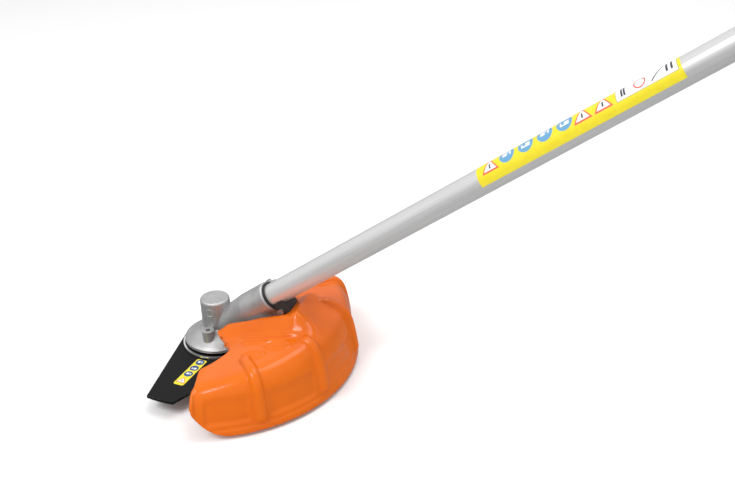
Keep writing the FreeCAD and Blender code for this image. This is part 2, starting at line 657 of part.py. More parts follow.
def handlebar_clamp_lower():
    block = box(HANDLE_U - 19, HANDLE_U + 19, -24, 24, CLAMP_LOW, CLAMP_SPLIT - 0.5)
    cuts = [rod_y(BAR_R + SEAT, -30, 30, HANDLE_U, BAR_W), cyl(SWIVEL_R + 0.05, 0, 50, HANDLE_U)]
    cuts += [cyl(2.1, 0, 50, HANDLE_U + u, 0) for u in (-15.5, 15.5)]
    return on_tube(block.cut(cuts))


def handlebar_clamp_cap():
    block = box(HANDLE_U - 19, HANDLE_U + 19, -24, 24, CLAMP_SPLIT + 0.5, CLAMP_TOP)
    cuts = [rod_y(BAR_R + SEAT, -30, 30, HANDLE_U, BAR_W)]
    cuts += [cyl(2.1, 0, 90, HANDLE_U + u, 0) for u in (-15.5, 15.5)]
    return on_tube(block.cut(cuts))


def wing_screw():
    """Two clamp screws, the rear one with a wing head turned by hand."""
    plain = aim(cap_screw(3.2, 4.0, 2.0, 30.0), (HANDLE_U - 15.5, 0, CLAMP_TOP), (0, 0, 1))
    shank = cyl(2.0, CLAMP_TOP - 30, CLAMP_TOP, HANDLE_U + 15.5)
    head = cyl(6.5, CLAMP_TOP, CLAMP_TOP + 9, HANDLE_U + 15.5)
    wings = box(HANDLE_U + 13, HANDLE_U + 18, -17, 17, CLAMP_TOP + 4, CLAMP_TOP + 20)
    return on_tube(Part.makeCompound([plain, shank.fuse([head, wings])]))


BAR_BEND = [(0.0, 85.0, 0.0), (15.0, 205.0, 140.0)]
BAR_GRIP_DIR = Vector(0.80, 0.42, -0.43).normalize()
GRIP_RUN = 185.0
BAR_BEND_R = (55.0, 60.0)


def bar_points(side):
    """Centre points of one arm of the handlebar, in tube axes."""
    corners = [Vector(HANDLE_U + u, side * y, BAR_W + w) for u, y, w in BAR_BEND]
    outward = Vector(BAR_GRIP_DIR.x, side * BAR_GRIP_DIR.y, BAR_GRIP_DIR.z)
    return corners + [corners[-1] + outward * GRIP_RUN]


def handlebar_path():
    left = bar_points(-1)
    right = bar_points(1)
    return rounded_path([tuple(p) for p in left[::-1] + right],
                        BAR_BEND_R[::-1] + BAR_BEND_R)


def handlebar():
    path = handlebar_path()
    return on_tube(swept(path, BAR_R).cut(swept(path, BAR_R - 1.5)))


def grip_seat(side, back):
    """Placement with Z along one grip, X downwards, a distance back from the bar's end."""
    points = bar_points(side)
    along = (points[-1] - points[-2]).normalize()
    down = Vector(-math.sin(math.radians(TUBE_ANGLE)), 0, -math.cos(math.radians(TUBE_ANGLE)))
    across = along.cross(down).normalize()
    down = across.cross(along)
    return Placement(points[-1] - along * back, Rotation(down, across, along, "ZXY"))


def on_grip(shape, side, back):
    out = shape.copy()
    out.Placement = grip_seat(side, back).multiply(out.Placement)
    return on_tube(out)


GRIP_L = 118.0
HOUSING_L = 126.0


def left_grip():
    rubber = turned([(BAR_R + SEAT, 0), (17.5, 0), (18.5, 2), (18.5, 6), (15.5, 9), (16.2, 60), (15.5, GRIP_L - 4),
                     (13.5, GRIP_L + 1), (0, GRIP_L + 1), (0, GRIP_L - 1.9), (BAR_R + SEAT, GRIP_L - 1.9)])
    for k in range(9):
        rubber = rubber.cut(ring(19.0, 15.1, 18 + 10 * k, 20.5 + 10 * k))
    return on_grip(rubber, -1, GRIP_L - 2)


# control handle, drawn with Z along the bar, +X down, from its front end
TRIGGER_X, TRIGGER_Z = 21.0, 16.0
LOCK_PIVOT_X, LOCK_PIVOT_Z = -15.0, 46.0


def control_body():
    body = box(-19, 16, -15, 15, 0, HOUSING_L)
    body = body.makeFillet(7.0, [e for e in body.Edges if abs(e.tangentAt(e.FirstParameter).z) > 0.9])
    cheeks = box(12, 28, -12, 12, 6, 26)
    body = body.fuse(cheeks)
    cuts = [cyl(BAR_R + SEAT, -5, HOUSING_L + 5), box(12, 30, -5.4, 5.4, 5, 27),
            box(15, 30, -5.4, 5.4, 20, 100), box(-30, -12.6, -5.4, 5.4, 40, 110),
            rod_y(1.6, -20, 20, TRIGGER_X, TRIGGER_Z), rod_y(1.3, -20, 20, LOCK_PIVOT_X, LOCK_PIVOT_Z),
            box(-30, -13.0, -4.4, 4.4, 10, 27)]
    return body.cut(cuts)


def control_half(side):
    low, high = (-40, -0.05) if side < 0 else (0.05, 40)
    return on_grip(control_body().common(box(-60, 60, low, high, -20, 160)), 1, HOUSING_L)


def throttle_trigger():
    lever = plate_xz([(TRIGGER_X - 3, TRIGGER_Z), (TRIGGER_X + 4.5, TRIGGER_Z - 1), (TRIGGER_X + 13, 44),
                      (TRIGGER_X + 23, 76), (TRIGGER_X + 20, 79), (TRIGGER_X + 6, 46)], 5.0)
    lever = lever.fuse(rod_y(4.6, -5, 5, TRIGGER_X, TRIGGER_Z))
    return on_grip(lever.cut(rod_y(1.5 + RUN, -20, 20, TRIGGER_X, TRIGGER_Z)), 1, HOUSING_L)


def trigger_lockout():
    lever = plate_xz([(LOCK_PIVOT_X + 1.5, LOCK_PIVOT_Z - 2), (LOCK_PIVOT_X - 1.8, LOCK_PIVOT_Z - 2),
                      (-24.5, 70), (-26.0, 103), (-22.5, 105), (-19.5, 72)], 4.9)
    lever = lever.fuse(rod_y(2.3, -4.9, 4.9, LOCK_PIVOT_X, LOCK_PIVOT_Z))
    return on_grip(lever.cut(rod_y(1.2 + RUN, -20, 20, LOCK_PIVOT_X, LOCK_PIVOT_Z)), 1, HOUSING_L)


def lever_pins():
    pins = [rod_y(1.5, -12, 12, TRIGGER_X, TRIGGER_Z), rod_y(1.2, -13, 13, LOCK_PIVOT_X, LOCK_PIVOT_Z)]
    return on_grip(Part.makeCompound(pins), 1, HOUSING_L)


def stop_switch():
    button = box(-21.5, -13.3, -4.1, 4.1, 10.3, 20)
    return on_grip(button, 1, HOUSING_L)


# ---- power head -------------------------------------------------------------
BEARING_U = 1476.0
CRANK_R = 7.5
DRUM_R = 38.0
ENGINE_SCREW_U = 1462.0


def clutch_housing():
    body = lay(turned([(TUBE_R, CLUTCH_U), (21, CLUTCH_U), (21, 1474), (45, 1487), (46, 1512), (PLATE_R, 1512),
                       (PLATE_R, FAN_U), (41, FAN_U), (41, 1488.5), (14, 1485), (14, BEARING_U), (12, BEARING_U),
                       (12, TUBE_END), (TUBE_R, TUBE_END)]))
    ear = box(ENGINE_SCREW_U - 8, ENGINE_SCREW_U + 8, -9, 9, -32, -15)
    body = body.fuse(ear)
    return on_tube(body.cut([box(1440, 1471, -1.2, 1.2, -40, -10), rod_x(TUBE_R + SEAT, 1400, TUBE_END),
                             rod_y(2.6, -20, 20, ENGINE_SCREW_U, -24)]))


def engine_bearings():
    """Clutch drum bearing and the two main bearings of the crankshaft."""
    rings = [bearing_ring((SHAFT_R, 14.0, 8.0), BEARING_U)]
    rings += [bearing_ring((CRANK_R, 14.0, 8.0), u) for u in (CASE_U, CASE_END - 8)]
    return on_tube(lay(Part.makeCompound(rings)))


def clutch_drum():
    drum = turned([(0, TUBE_END + 4.5), (SHAFT_R - RUN, TUBE_END + 4.5), (SHAFT_R - RUN, 1485), (9, 1485.5),
                   (9, 1490), (DRUM_R, 1490), (DRUM_R, 1509), (DRUM_R - 2, 1509), (DRUM_R - 2, 1492.5),
                   (0, 1492.5)])
    return on_tube(lay(drum.cut(cyl(DRIVE_R, 1400, TUBE_END + 14.0))))


def clutch_shoes():
    """Two weighted shoes and the garter spring that holds them in."""
    shoes = []
    for side in (-1, 1):
        half = ring(34.0, 13.0, 1495, 1507).common(box(-40, 40, min(side * 1.5, side * 40),
                                                       max(side * 1.5, side * 40), 1490, 1510))
        shoes.append(half.cut([cyl(4.03, 1490, 1515, 0, side * 23), ring(35, 31.5, 1500, 1503)]))
    return on_tube(lay(Part.makeCompound(shoes + [ring(33.0, 31.6, 1500.2, 1502.8)])))


def flywheel():
    """Magneto wheel with cooling vanes and the two clutch pins."""
    wheel = ring(46, CRANK_R, 1526, 1536)
    wheel = wheel.fuse([cyl(11.5, 1508.5, 1526).cut(cyl(CRANK_R, 1500, 1530))])
    vanes = []
    for k in range(14):
        vane = box(24, 45, -1.1, 1.1, 1517, 1526.5)
        vane.rotate(Vector(0, 0, 0), Vector(0, 0, 1), 360.0 * k / 14)
        vanes.append(vane)
    pins = [cyl(4.0, 1495, 1526.5, 0, side * 23) for side in (-1, 1)]
    return on_tube(lay(wheel.cut(cyl(CRANK_R, 1500, 1540)).fuse(vanes + pins)))


def crankcase():
    """Crank chamber cast in one with the fan scroll in front of it."""
    scroll = lay(ring(PLATE_R, 50, FAN_U, CASE_U).fuse(ring(51, 20, CASE_U - 3, CASE_U)))
    outlet = box(CASE_U - 24, CASE_U - 3.5, -22, 22, 40, 70)
    chamber = soft_box(CASE_U - 1, CASE_END, -37, 37, -36, CYL_LOW, 5)
    cuts = [outlet, rod_x(27, CASE_U + 8, CASE_END - 8), rod_x(14, CASE_U - 5, CASE_END + 1),
            cyl(BORE_R + 3.2, 0, 60, CYLINDER_U)]
    return on_tube(scroll.fuse(chamber).cut(cuts))


CRANK_THROW = 13.0


def crankshaft():
    front = rod_x(CRANK_R - 0.02, 1494, 1553)
    rear = rod_x(CRANK_R - 0.02, 1579, 1604)
    webs = [rod_x(23, 1552.5, 1561), rod_x(23, 1571, 1579.5)]
    pin = rod_x(5, 1560, 1572, 0, CRANK_THROW)
    flats = [box(1552, 1580, side, side + 20, 6, 40) for side in (12, -32)]
    return on_tube(front.fuse([rear] + webs + [pin]).cut(flats))


def piston():
    """Piston with its pin and the upper half of the connecting rod."""
    crown = cyl(BORE_R - 0.05, 58, 84, CYLINDER_U).cut(cyl(BORE_R - 3, 50, 79, CYLINDER_U))
    crown = crown.fuse(rod_y(3.5, -18.4, 18.4, CYLINDER_U, 68))
    rod = box(CYLINDER_U - 3.5, CYLINDER_U + 3.5, -4, 4, 26, 70).fuse(rod_y(6.5, -4, 4, CYLINDER_U, 68))
    return on_tube(crown.fuse(rod))


def cylinder():
    barrel = cyl(23, CYL_LOW, CYL_TOP, CYLINDER_U)
    skirt = cyl(BORE_R + 3.2 - SEAT, CYL_LOW - 8, CYL_LOW, CYLINDER_U)
    fins = [box(CYLINDER_U - 24.5, CYLINDER_U + 24.5, -30.2, 30.2, CYL_LOW + 10 + 6 * k, CYL_LOW + 12 + 6 * k)
            for k in range(10)]
    base = box(CYLINDER_U - 24, CYLINDER_U + 24, -30, 30, CYL_LOW, CYL_LOW + 4)
    ports = [rod_y(12, 10, 34, CYLINDER_U, 66), rod_y(11, -34, -10, CYLINDER_U, 60)]
    body = barrel.fuse([skirt, base] + fins + ports)
    cuts = [cyl(BORE_R, 0, 92, CYLINDER_U), cyl(5, 80, 120, CYLINDER_U), rod_y(7, 0, 40, CYLINDER_U, 66),
            rod_y(6, -40, 0, CYLINDER_U, 60)]
    return on_tube(body.cut(cuts))


def spark_plug():
    plug = cyl(5, 92, CYL_TOP, CYLINDER_U).fuse([
        ring(9.5, 0.5, CYL_TOP, CYL_TOP + 9, CYLINDER_U), cyl(6, CYL_TOP + 9, CYL_TOP + 28, CYLINDER_U),
        cyl(2.5, CYL_TOP + 28, CYL_TOP + 34, CYLINDER_U), cyl(1.0, CYL_TOP, CYL_TOP + 9, CYLINDER_U)])
    return on_tube(plug)


def plug_boot():
    boot = cyl(9.5, CYL_TOP + 14, CYL_TOP + 40, CYLINDER_U)
    elbow = rod_x(5.5, CYLINDER_U - 25, CYLINDER_U, 0, CYL_TOP + 34)
    return on_tube(boot.fuse(elbow).cut([cyl(6, 0, CYL_TOP + 28, CYLINDER_U),
                                         cyl(2.5, 0, CYL_TOP + 34, CYLINDER_U)]))


def muffler():
    can = soft_box(1536, 1596, 36, 78, 42, 98, 7)
    flange = box(CYLINDER_U - 16, CYLINDER_U + 16, 34, 40, 52, 80)
    outlet = rod_y(6, 70, 84, 1584, 54)
    return on_tube(can.fuse([flange, outlet]).cut([rod_y(4.5, 76, 90, 1584, 54),
                                                   rod_y(7, 30, 45, CYLINDER_U, 66)]))


VALVE_U = CYLINDER_U - 2.0


def carburettor():
    body = soft_box(CYLINDER_U - 18, CYLINDER_U + 18, -70, -42, 42, 78, 2)
    body = body.fuse(box(CYLINDER_U - 15, CYLINDER_U + 15, -43, -34, 46, 74))
    return on_tube(body.cut([rod_y(7, -80, -33, CYLINDER_U, 60), cyl(2.5, 49, 90, VALVE_U, -56)]))


def throttle_valve():
    """Valve spindle, its disc in the bore and the lever on top."""
    spindle = cyl(2.5 - RUN, 52, 84, VALVE_U, -56)
    arm = box(VALVE_U - 3, VALVE_U + 15, -59, -53, 80, 84)
    return on_tube(spindle.fuse(arm))


CHOKE_U, CHOKE_W = 1552.0, 90.0
PRIMER_U, PRIMER_W = 1576.0, 54.0
PRIMER_R = 8.5


def air_filter():
    return on_tube(soft_box(1541, 1591, -84, -70, 40, 96, 4).cut(rod_y(7, -75, -65, CYLINDER_U, 60)))


def air_filter_cover():
    outer = soft_box(1534, 1598, -98, -62, 34, 106, 9)
    inner = box(1537, 1595, -95, -50, 37, 103)
    holes = [rod_y(3.0, -120, -60, CHOKE_U, CHOKE_W), rod_y(PRIMER_R + GAP, -120, -90, PRIMER_U, PRIMER_W)]
    return on_tube(outer.cut([inner, box(1500, 1640, -70, -50, 20, 120)] + holes))


def choke_lever():
    shaft = rod_y(3 - RUN, -104, -84.3, CHOKE_U, CHOKE_W)
    arm = box(CHOKE_U - 3, CHOKE_U + 3, -104, -99, CHOKE_W, CHOKE_W + 24)
    return on_tube(shaft.fuse(arm))


def primer_bulb():
    dome = Part.makeSphere(PRIMER_R).common(cyl(PRIMER_R + 1, 0, PRIMER_R + 1)).fuse(cyl(PRIMER_R, -2.5, 0))
    return on_tube(aim(dome, (PRIMER_U, -98, PRIMER_W), (0, -1, 0)))


COVER_U = (1524.0, 1604.0)


def engine_cover():
    """Top shroud over the fins and the spark plug, open below and at both ports."""
    outer = soft_box(COVER_U[0], COVER_U[1], -33, 33, 40, 152, 10)
    inner = soft_box(COVER_U[0] + 2.5, COVER_U[1] - 2.5, -30.5, 30.5, 30, 149.5, 8)
    cuts = [inner, box(1500, 1640, -60, 60, 20, 57), box(1538, 1594, -60, 60, 30, 100)]
    cuts += [box(1592, 1620, -22 + 9 * k, -18 + 9 * k, 108, 136) for k in range(6)]
    return on_tube(outer.cut(cuts))


def starter_housing():
    dish = lay(turned([(0, STARTER_END), (44, STARTER_END), (50, STARTER_END - 6), (50, STARTER_U - 2),
                       (47.5, STARTER_U - 2), (47.5, STARTER_END - 7), (43, STARTER_END - 2.5), (7, STARTER_END - 2.5),
                       (7, 1606), (0, 1606)]))
    feet = [rod_x(5, CASE_END, STARTER_END - 3, 40 * math.cos(a), 40 * math.sin(a))
            for a in (math.pi * 0.25, math.pi * 0.75, math.pi * 1.25, math.pi * 1.75)]
    slots = []
    for k in range(12):
        slot = box(STARTER_END - 4, STARTER_END + 2, -2, 2, 18, 36)
        slot.rotate(Vector(0, 0, 0), Vector(1, 0, 0), 30.0 * k + 15)
        slots.append(slot)
    seat = box(1608, 1620, -6, 6, 46, 54)
    return on_tube(dish.fuse([seat] + feet).cut(slots + [cyl(2.2, 40, 60, 1614)]))


def starter_pulley():
    wheel = turned([(7 + RUN, 1608), (30, 1608), (30, 1609.5), (25, 1610.5), (25, 1615.5), (30, 1616.5),
                    (30, 1618), (7 + RUN, 1618)])
    return on_tube(lay(wheel))


def starter_grip():
    bar = soft_box(1607, 1621, -24, 24, 56, 68, 5)
    return on_tube(bar.fuse(cyl(2.1, 48, 58, 1614)))


TANK = (1515.0, 1608.0, -54.0, 54.0, -108.0, -36.0)


def fuel_tank():
    """Moulded tank under the crankcase, saddled round the fan scroll, with a foot to rest on."""
    outer = soft_box(*TANK, 10)
    u0, u1, y0, y1, w0, w1 = TANK
    inner = soft_box(u0 + 3, u1 - 3, y0 + 3, y1 - 3, w0 + 3, w1 - 3, 7)
    neck = rod_y(15, y0 - 7, y0 + 5, 1580, -66)
    relief = rod_x(PLATE_R + GAP, u0 - 1, CASE_U)
    relief_in = rod_x(PLATE_R + 3, u0 + 3, CASE_U + 3)
    rear = rod_x(50 + GAP, STARTER_U - 2, u1 + 1)
    hollow = inner.cut([relief_in, rod_x(54, STARTER_U - 5, u1)])
    body = outer.fuse(neck).cut([relief, rear]).cut(hollow)
    foot = [box(1528, 1602, -50, 50, -118, -114)] + [box(1528, 1602, y, y + 4, -115, w0 + 1) for y in (-40, 36)]
    return on_tube(body.fuse(foot).cut(rod_y(11, y0 - 10, y0 + 6, 1580, -66)))


def fuel_cap():
    y0 = TANK[2]
    cap = rod_y(19, y0 - 16, y0 - 7, 1580, -66).fuse(rod_y(11 - 0.05, y0 - 7, y0 - 1, 1580, -66))
    bar = box(1562, 1598, y0 - 21, y0 - 15, -69, -63)
    return on_tube(cap.fuse(bar))


PIECES = {
    "gear_housing": gear_housing, "grease_plug": grease_plug, "output_shaft": output_shaft,
    "crown_gear": crown_gear, "head_bearings": head_bearings, "circlips": circlips, "pinion": pinion,
    "thrust_plate": thrust_plate, "blade": blade, "blade_label": blade_label,
    "thrust_washer": thrust_washer, "riding_plate": riding_plate, "arbor_nut": arbor_nut,
    "deflector": deflector, "guard_bracket": guard_bracket, "guard_screws": guard_screws,
    "tube_clamp_screws": tube_clamp_screws, "socket_seal": socket_seal, "shaft_tube": shaft_tube,
    "drive_shaft": drive_shaft, "drive_bushes": drive_bushes, "tube_label": tube_label,
    "carrying_ring": carrying_ring, "handle_base": handle_base, "handle_under_clamp": handle_under_clamp,
    "handlebar_clamp_lower": handlebar_clamp_lower, "handlebar_clamp_cap": handlebar_clamp_cap,
    "wing_screw": wing_screw, "handlebar": handlebar, "left_grip": left_grip,
    "control_handle_left": lambda: control_half(-1), "control_handle_right": lambda: control_half(1),
    "throttle_trigger": throttle_trigger, "trigger_lockout": trigger_lockout, "lever_pins": lever_pins,
    "stop_switch": stop_switch, "clutch_housing": clutch_housing, "engine_bearings": engine_bearings,
    "clutch_drum": clutch_drum, "clutch_shoes": clutch_shoes, "flywheel": flywheel,
    "crankcase": crankcase, "crankshaft": crankshaft, "piston": piston, "cylinder": cylinder,
    "spark_plug": spark_plug, "plug_boot": plug_boot, "muffler": muffler, "carburettor": carburettor,
    "throttle_valve": throttle_valve, "air_filter": air_filter, "air_filter_cover": air_filter_cover,
    "choke_lever": choke_lever, "primer_bulb": primer_bulb, "engine_cover": engine_cover,
    "starter_housing": starter_housing, "starter_pulley": starter_pulley, "starter_grip": starter_grip,
    "fuel_tank": fuel_tank, "fuel_cap": fuel_cap,
}

for name, make in PIECES.items():
    save(name, make())
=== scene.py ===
import math

import bmesh
import bpy
import numpy as np
from mathutils import Matrix, Vector


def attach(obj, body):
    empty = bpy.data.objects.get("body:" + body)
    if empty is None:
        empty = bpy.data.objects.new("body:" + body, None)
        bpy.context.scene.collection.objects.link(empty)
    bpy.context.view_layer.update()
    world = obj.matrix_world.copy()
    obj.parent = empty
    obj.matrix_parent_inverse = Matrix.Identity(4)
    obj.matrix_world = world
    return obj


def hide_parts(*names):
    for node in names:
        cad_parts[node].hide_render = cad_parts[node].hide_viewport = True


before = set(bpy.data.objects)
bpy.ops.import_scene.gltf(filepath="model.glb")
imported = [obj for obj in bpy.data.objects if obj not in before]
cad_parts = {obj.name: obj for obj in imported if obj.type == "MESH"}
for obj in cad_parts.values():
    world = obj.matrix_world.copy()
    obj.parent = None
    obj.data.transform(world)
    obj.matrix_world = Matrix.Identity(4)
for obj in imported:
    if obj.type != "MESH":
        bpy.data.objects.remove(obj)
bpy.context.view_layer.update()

# ---- sizes the looks share with the model, metres ---------------------------
TUBE_ANGLE = math.radians(35.5)
RIM_Z = 0.024
APEX = Vector((0.0, 0.0, RIM_Z + 0.0182))
TUBE_R = 0.014
STARTER_END_U = 1.634
BOSS_R = 0.0176
BOSS_MARK_Z = 0.0695
BOSS_MARK_TURN = math.radians(-88.0)
BLADE_LABEL_TURN = math.radians(-96.5)
GUARD_R = 0.168
GUARD_RIM_Z = RIM_Z - 0.020
GUARD_TOP_Z = RIM_Z + 0.032
GUARD_T = 0.0028
GUARD_SLOPE = 0.2
GUARD_LEAN = 0.013
SHOULDER = 0.038
SHOULDER_POWER = 0.42
GUARD_FROM, GUARD_TO = -74.6, 57.0
GUARD_LIP_Z, GUARD_LIP_SLOPE = 0.0555, 0.3
GUARD_CREST_Z = 0.094
GUARD_SEAT_W = -0.024
GUARD_SLOPE_FROM = 0.038
GUARD_LEAN_FALL = 0.00005               # per degree round
NEAR_CORNER, FAR_CORNER = (0.044, 0.038), (0.024, 0.024)
# places where the lips and the hump begin, and over what length they blend
LIP_SIDE, LIP_BLEND = 0.014, 0.006
HUMP_SIDE, HUMP_SIDE_BLEND = 0.020, 0.026
HUMP_IN, HUMP_IN_BLEND = 0.014, 0.014
HUMP_OUT, HUMP_OUT_BLEND = 0.110, 0.040
SKIN_ROUND, SKIN_DOWN = 340, 140        # points of the visible skin
# inner edge: share of the way round, then its place in plan
GUARD_EDGE = [(0.0, 0.031, -0.108), (0.08, 0.046, -0.077), (0.13, 0.045, -0.063), (0.22, 0.017, -0.034),
              (0.27, 0.025, -0.025), (0.41, 0.062, -0.021), (0.47, 0.072, -0.012), (0.53, 0.072, 0.012),
              (0.6, 0.060, 0.021), (0.7, 0.052, 0.036), (0.84, 0.058, 0.058), (1.0, 0.066, 0.084)]
RIBS = (-49.0, -19.5, 11.0, 40.0)       # degrees round the spin axis
RIB_STARTS = (0.108, 0.132, 0.124, 0.124)
RIB_HALF, RIB_RISE = 0.0070, 0.0056
PANEL_DEPTH = 0.0024
# creases on the top beside the hump: start and end in plan, half width
CREASES = (((0.046, -0.043), (0.128, -0.040), 0.0026), ((0.054, -0.054), (0.124, -0.052), 0.0032))
CREASE_RISE = 0.0022
# oval embosses on the top: middle in plan, half sizes
OVALS = (((0.083, -0.079), (0.013, 0.008)), ((0.103, -0.060), (0.016, 0.009)),
         ((0.100, 0.048), (0.013, 0.010)))
OVAL_RISE, OVAL_CORE_RISE = 0.0014, 0.0012
BEAD_RISE, BEAD_HEIGHT = 0.0014, 0.0085

# ---- signs on the tube's film, metres along the tube and round it ------------
PRINT_START = math.radians(150.0)
SIGN_ROW = 0.0096
SIGN_PITCH = 0.0225
TRIANGLE_SIZE, DISC_R = 0.0175, 0.0090
FIRST_TRIANGLE, FIRST_DISC, NEXT_TRIANGLE = 0.4135, 0.4345, 0.5215
WHITE_PANEL_AT, WHITE_PANEL_HALF, WHITE_PANEL_LINE = 0.590, (0.0315, 0.0105), 0.0005
FIRST_BARS, FIRST_BARS_PITCH = 0.5645, 0.0028
LAST_BARS, LAST_BARS_PITCH = 0.6115, 0.005
RING_AT, RING_R, RING_HOLE_R = 0.5835, 0.0064, 0.0050
SLOPE_AT, SLOPE_RISE = 0.602, 0.9
# signs on the blade's film: side, then reach from the spin axis with a minus sign
BLADE_ROW = 0.0043
BLADE_TRIANGLE_AT, BLADE_TRIANGLE_SIZE = -0.0885, 0.0105
BLADE_DISC_AT, BLADE_DISC_PITCH, BLADE_DISC_R = -0.0755, 0.0125, 0.0053
SOFT = 0.0003                           # soft edge of every printed shape


def tube_point(u, y, w):
    """Tube axes (along, right, up) to the machine's own axes."""
    c, s = math.cos(TUBE_ANGLE), math.sin(TUBE_ANGLE)
    return Vector((u * c - w * s, y, APEX.z + u * s + w * c))


# ---- a socket that does maths -----------------------------------------------
class Value:
    """Wraps a node's output so that expressions on it add Math nodes."""

    def __init__(self, web, socket):
        self.web = web
        self.socket = socket

    def _do(self, operation, *others):
        inputs = {0: self, **dict(enumerate(others, 1))}
        return self.web.node("ShaderNodeMath", {"operation": operation}, inputs)

    def __add__(self, other):
        return self._do("ADD", other)

    __radd__ = __add__

    def __sub__(self, other):
        return self._do("SUBTRACT", other)

    def __rsub__(self, other):
        return self * -1.0 + other

    def __mul__(self, other):
        return self._do("MULTIPLY", other)

    __rmul__ = __mul__

    def __truediv__(self, other):
        return self._do("DIVIDE", other)

    def __neg__(self):
        return self * -1.0

    def abs(self):
        return self._do("ABSOLUTE")

    def sin(self):
        return self._do("SINE")

    def low(self, other):
        return self._do("MINIMUM", other)

    def high(self, other):
        return self._do("MAXIMUM", other)

    def wrap(self, period):
        return self._do("FLOORED_MODULO", period)

    def angle(self, other):
        return self._do("ARCTAN2", other)

    def root(self):
        return self._do("SQRT")

    def clamp(self):
        return self.high(0.0).low(1.0)

    def step(self, start, end):
        """0 before start, 1 after end, smooth between; start may be the larger."""
        return self.web.node("ShaderNodeMapRange", {"interpolation_type": "SMOOTHSTEP"},
                             {"Value": self, "From Min": start, "From Max": end})


class Web:
    """A node tree that is filled by one method."""

    def __init__(self, tree):
        self.tree = tree

    def node(self, kind, settings=None, inputs=None, out=0):
        made = self.tree.nodes.new(kind)
        for name, setting in (settings or {}).items():
            setattr(made, name, setting)
        for name, given in (inputs or {}).items():
            socket = made.inputs[name]
            if isinstance(given, Value):
                self.tree.links.new(given.socket, socket)
            else:
                socket.default_value = given
        return Value(self, made.outputs[out])


class Finish(Web):
    """A surface finish: a material with the nodes every finish starts from."""

    def __init__(self, name):
        self.material = bpy.data.materials.new(name)
        self.material.use_nodes = True
        super().__init__(self.material.node_tree)
        self.tree.nodes.clear()
        self.place = self.node("ShaderNodeTexCoord", out=3)

    def noise(self, scale, detail=4.0, rough=0.55, place=None, stretch=None):
        at = place or self.place
        if stretch:
            at = self.node("ShaderNodeMapping", {}, {"Vector": at, "Scale": stretch})
        return self.node("ShaderNodeTexNoise", {}, {"Vector": at, "Scale": scale, "Detail": detail,
                                                    "Roughness": rough})

    def cells(self, scale, out=0):
        return self.node("ShaderNodeTexVoronoi", {}, {"Vector": self.place, "Scale": scale}, out)

    def split(self, vector=None):
        at = vector or self.place
        return [self.node("ShaderNodeSeparateXYZ", {}, {0: at}, out=k) for k in range(3)]

    def mix(self, factor, first, second):
        """Blend of two colours, each a tuple or a link."""
        inputs = {0: factor}
        for key, colour in ((6, first), (7, second)):
            inputs[key] = colour if isinstance(colour, Value) else (*colour, 1.0)
        return self.node("ShaderNodeMix", {"data_type": "RGBA"}, inputs, out=2)

    def bump(self, height, depth, strength=1.0, under=None):
        inputs = {"Height": height, "Distance": depth, "Strength": strength}
        if under:
            inputs["Normal"] = under
        return self.node("ShaderNodeBump", {}, inputs)

    def along_tube(self):
        """Place in tube axes: along the tube, to the right, up."""
        return self.node("ShaderNodeMapping", {"vector_type": "TEXTURE"},
                         {"Vector": self.place, "Location": tuple(APEX), "Rotation": (0.0, -TUBE_ANGLE, 0.0)})

    def edge(self, size):
        """Where an edge or corner is worn, 0 to 1."""
        bevel = self.node("ShaderNodeBevel", {"samples": 4}, {"Radius": size})
        flat = self.node("ShaderNodeNewGeometry", out=1)
        dot = self.node("ShaderNodeVectorMath", {"operation": "DOT_PRODUCT"}, {0: bevel, 1: flat}, out=1)
        return (1.0 - dot).step(0.02, 0.25)

    def done(self, **inputs):
        surface = self.node("ShaderNodeBsdfPrincipled", {}, {
            name.replace("_", " "): (*given, 1.0) if isinstance(given, tuple) and len(given) == 3 else given
            for name, given in inputs.items()})
        end = self.tree.nodes.new("ShaderNodeOutputMaterial")
        self.tree.links.new(surface.socket, end.inputs["Surface"])
        return self.material


# ---- finishes ---------------------------------------------------------------
def moulded_orange():
    """Glossy dyed plastic with flow marks and fine paler scuffs."""
    f = Finish("moulded_orange")
    flow = f.noise(9.0, 3.0)
    speck = f.noise(900.0, 2.0)
    scuff = f.noise(60.0, 5.0, 0.7, stretch=(1.0, 6.0, 1.0)).step(0.62, 0.78)
    colour = f.mix(flow.step(0.3, 0.7), (0.66, 0.112, 0.0), (0.75, 0.145, 0.0))
    colour = f.mix(scuff * 0.10, colour, (0.95, 0.40, 0.12))
    height = flow * 0.4 + speck * 0.05
    return f.done(Base_Color=colour, Roughness=0.17 + flow * 0.05 + scuff * 0.12, Coat_Weight=0.08,
                  Coat_Roughness=0.05, Specular_IOR_Level=0.34, Normal=f.bump(height, 0.0003, 0.4))


def cast_metal():
    """Fine-blasted die-cast alloy, darker in its pores and bright along worn edges."""
    f = Finish("cast_metal")
    grain = f.noise(1400.0, 3.0, 0.7)
    cloud = f.noise(45.0, 4.0)
    pores = f.cells(420.0).step(0.16, 0.05)
    colour = f.mix(cloud.step(0.3, 0.7), (0.43, 0.43, 0.435), (0.55, 0.55, 0.55))
    colour = f.mix(pores * 0.35, colour, (0.22, 0.22, 0.22))
    worn = f.edge(0.0012)
    colour = f.mix(worn, colour, (0.82, 0.82, 0.82))
    return f.done(Base_Color=colour, Metallic=0.82, Roughness=0.42 + grain * 0.12 - worn * 0.2,
                  Normal=f.bump(grain + cloud * 0.8 - pores * 0.6, 0.0003, 0.9))


def drawn_tube():
    """Anodised drawn tube with faint draw lines along its length."""
    f = Finish("drawn_tube")
    at = f.along_tube()
    lines = f.noise(700.0, 3.0, 0.6, place=at, stretch=(0.012, 1.0, 1.0))
    cloud = f.noise(25.0, 3.0)
    colour = f.mix(lines.step(0.3, 0.7), (0.66, 0.66, 0.66), (0.74, 0.74, 0.74))
    return f.done(Base_Color=colour, Metallic=0.55, Roughness=0.24 + lines * 0.08 + cloud * 0.06,
                  Normal=f.bump(lines, 0.00004, 0.5))


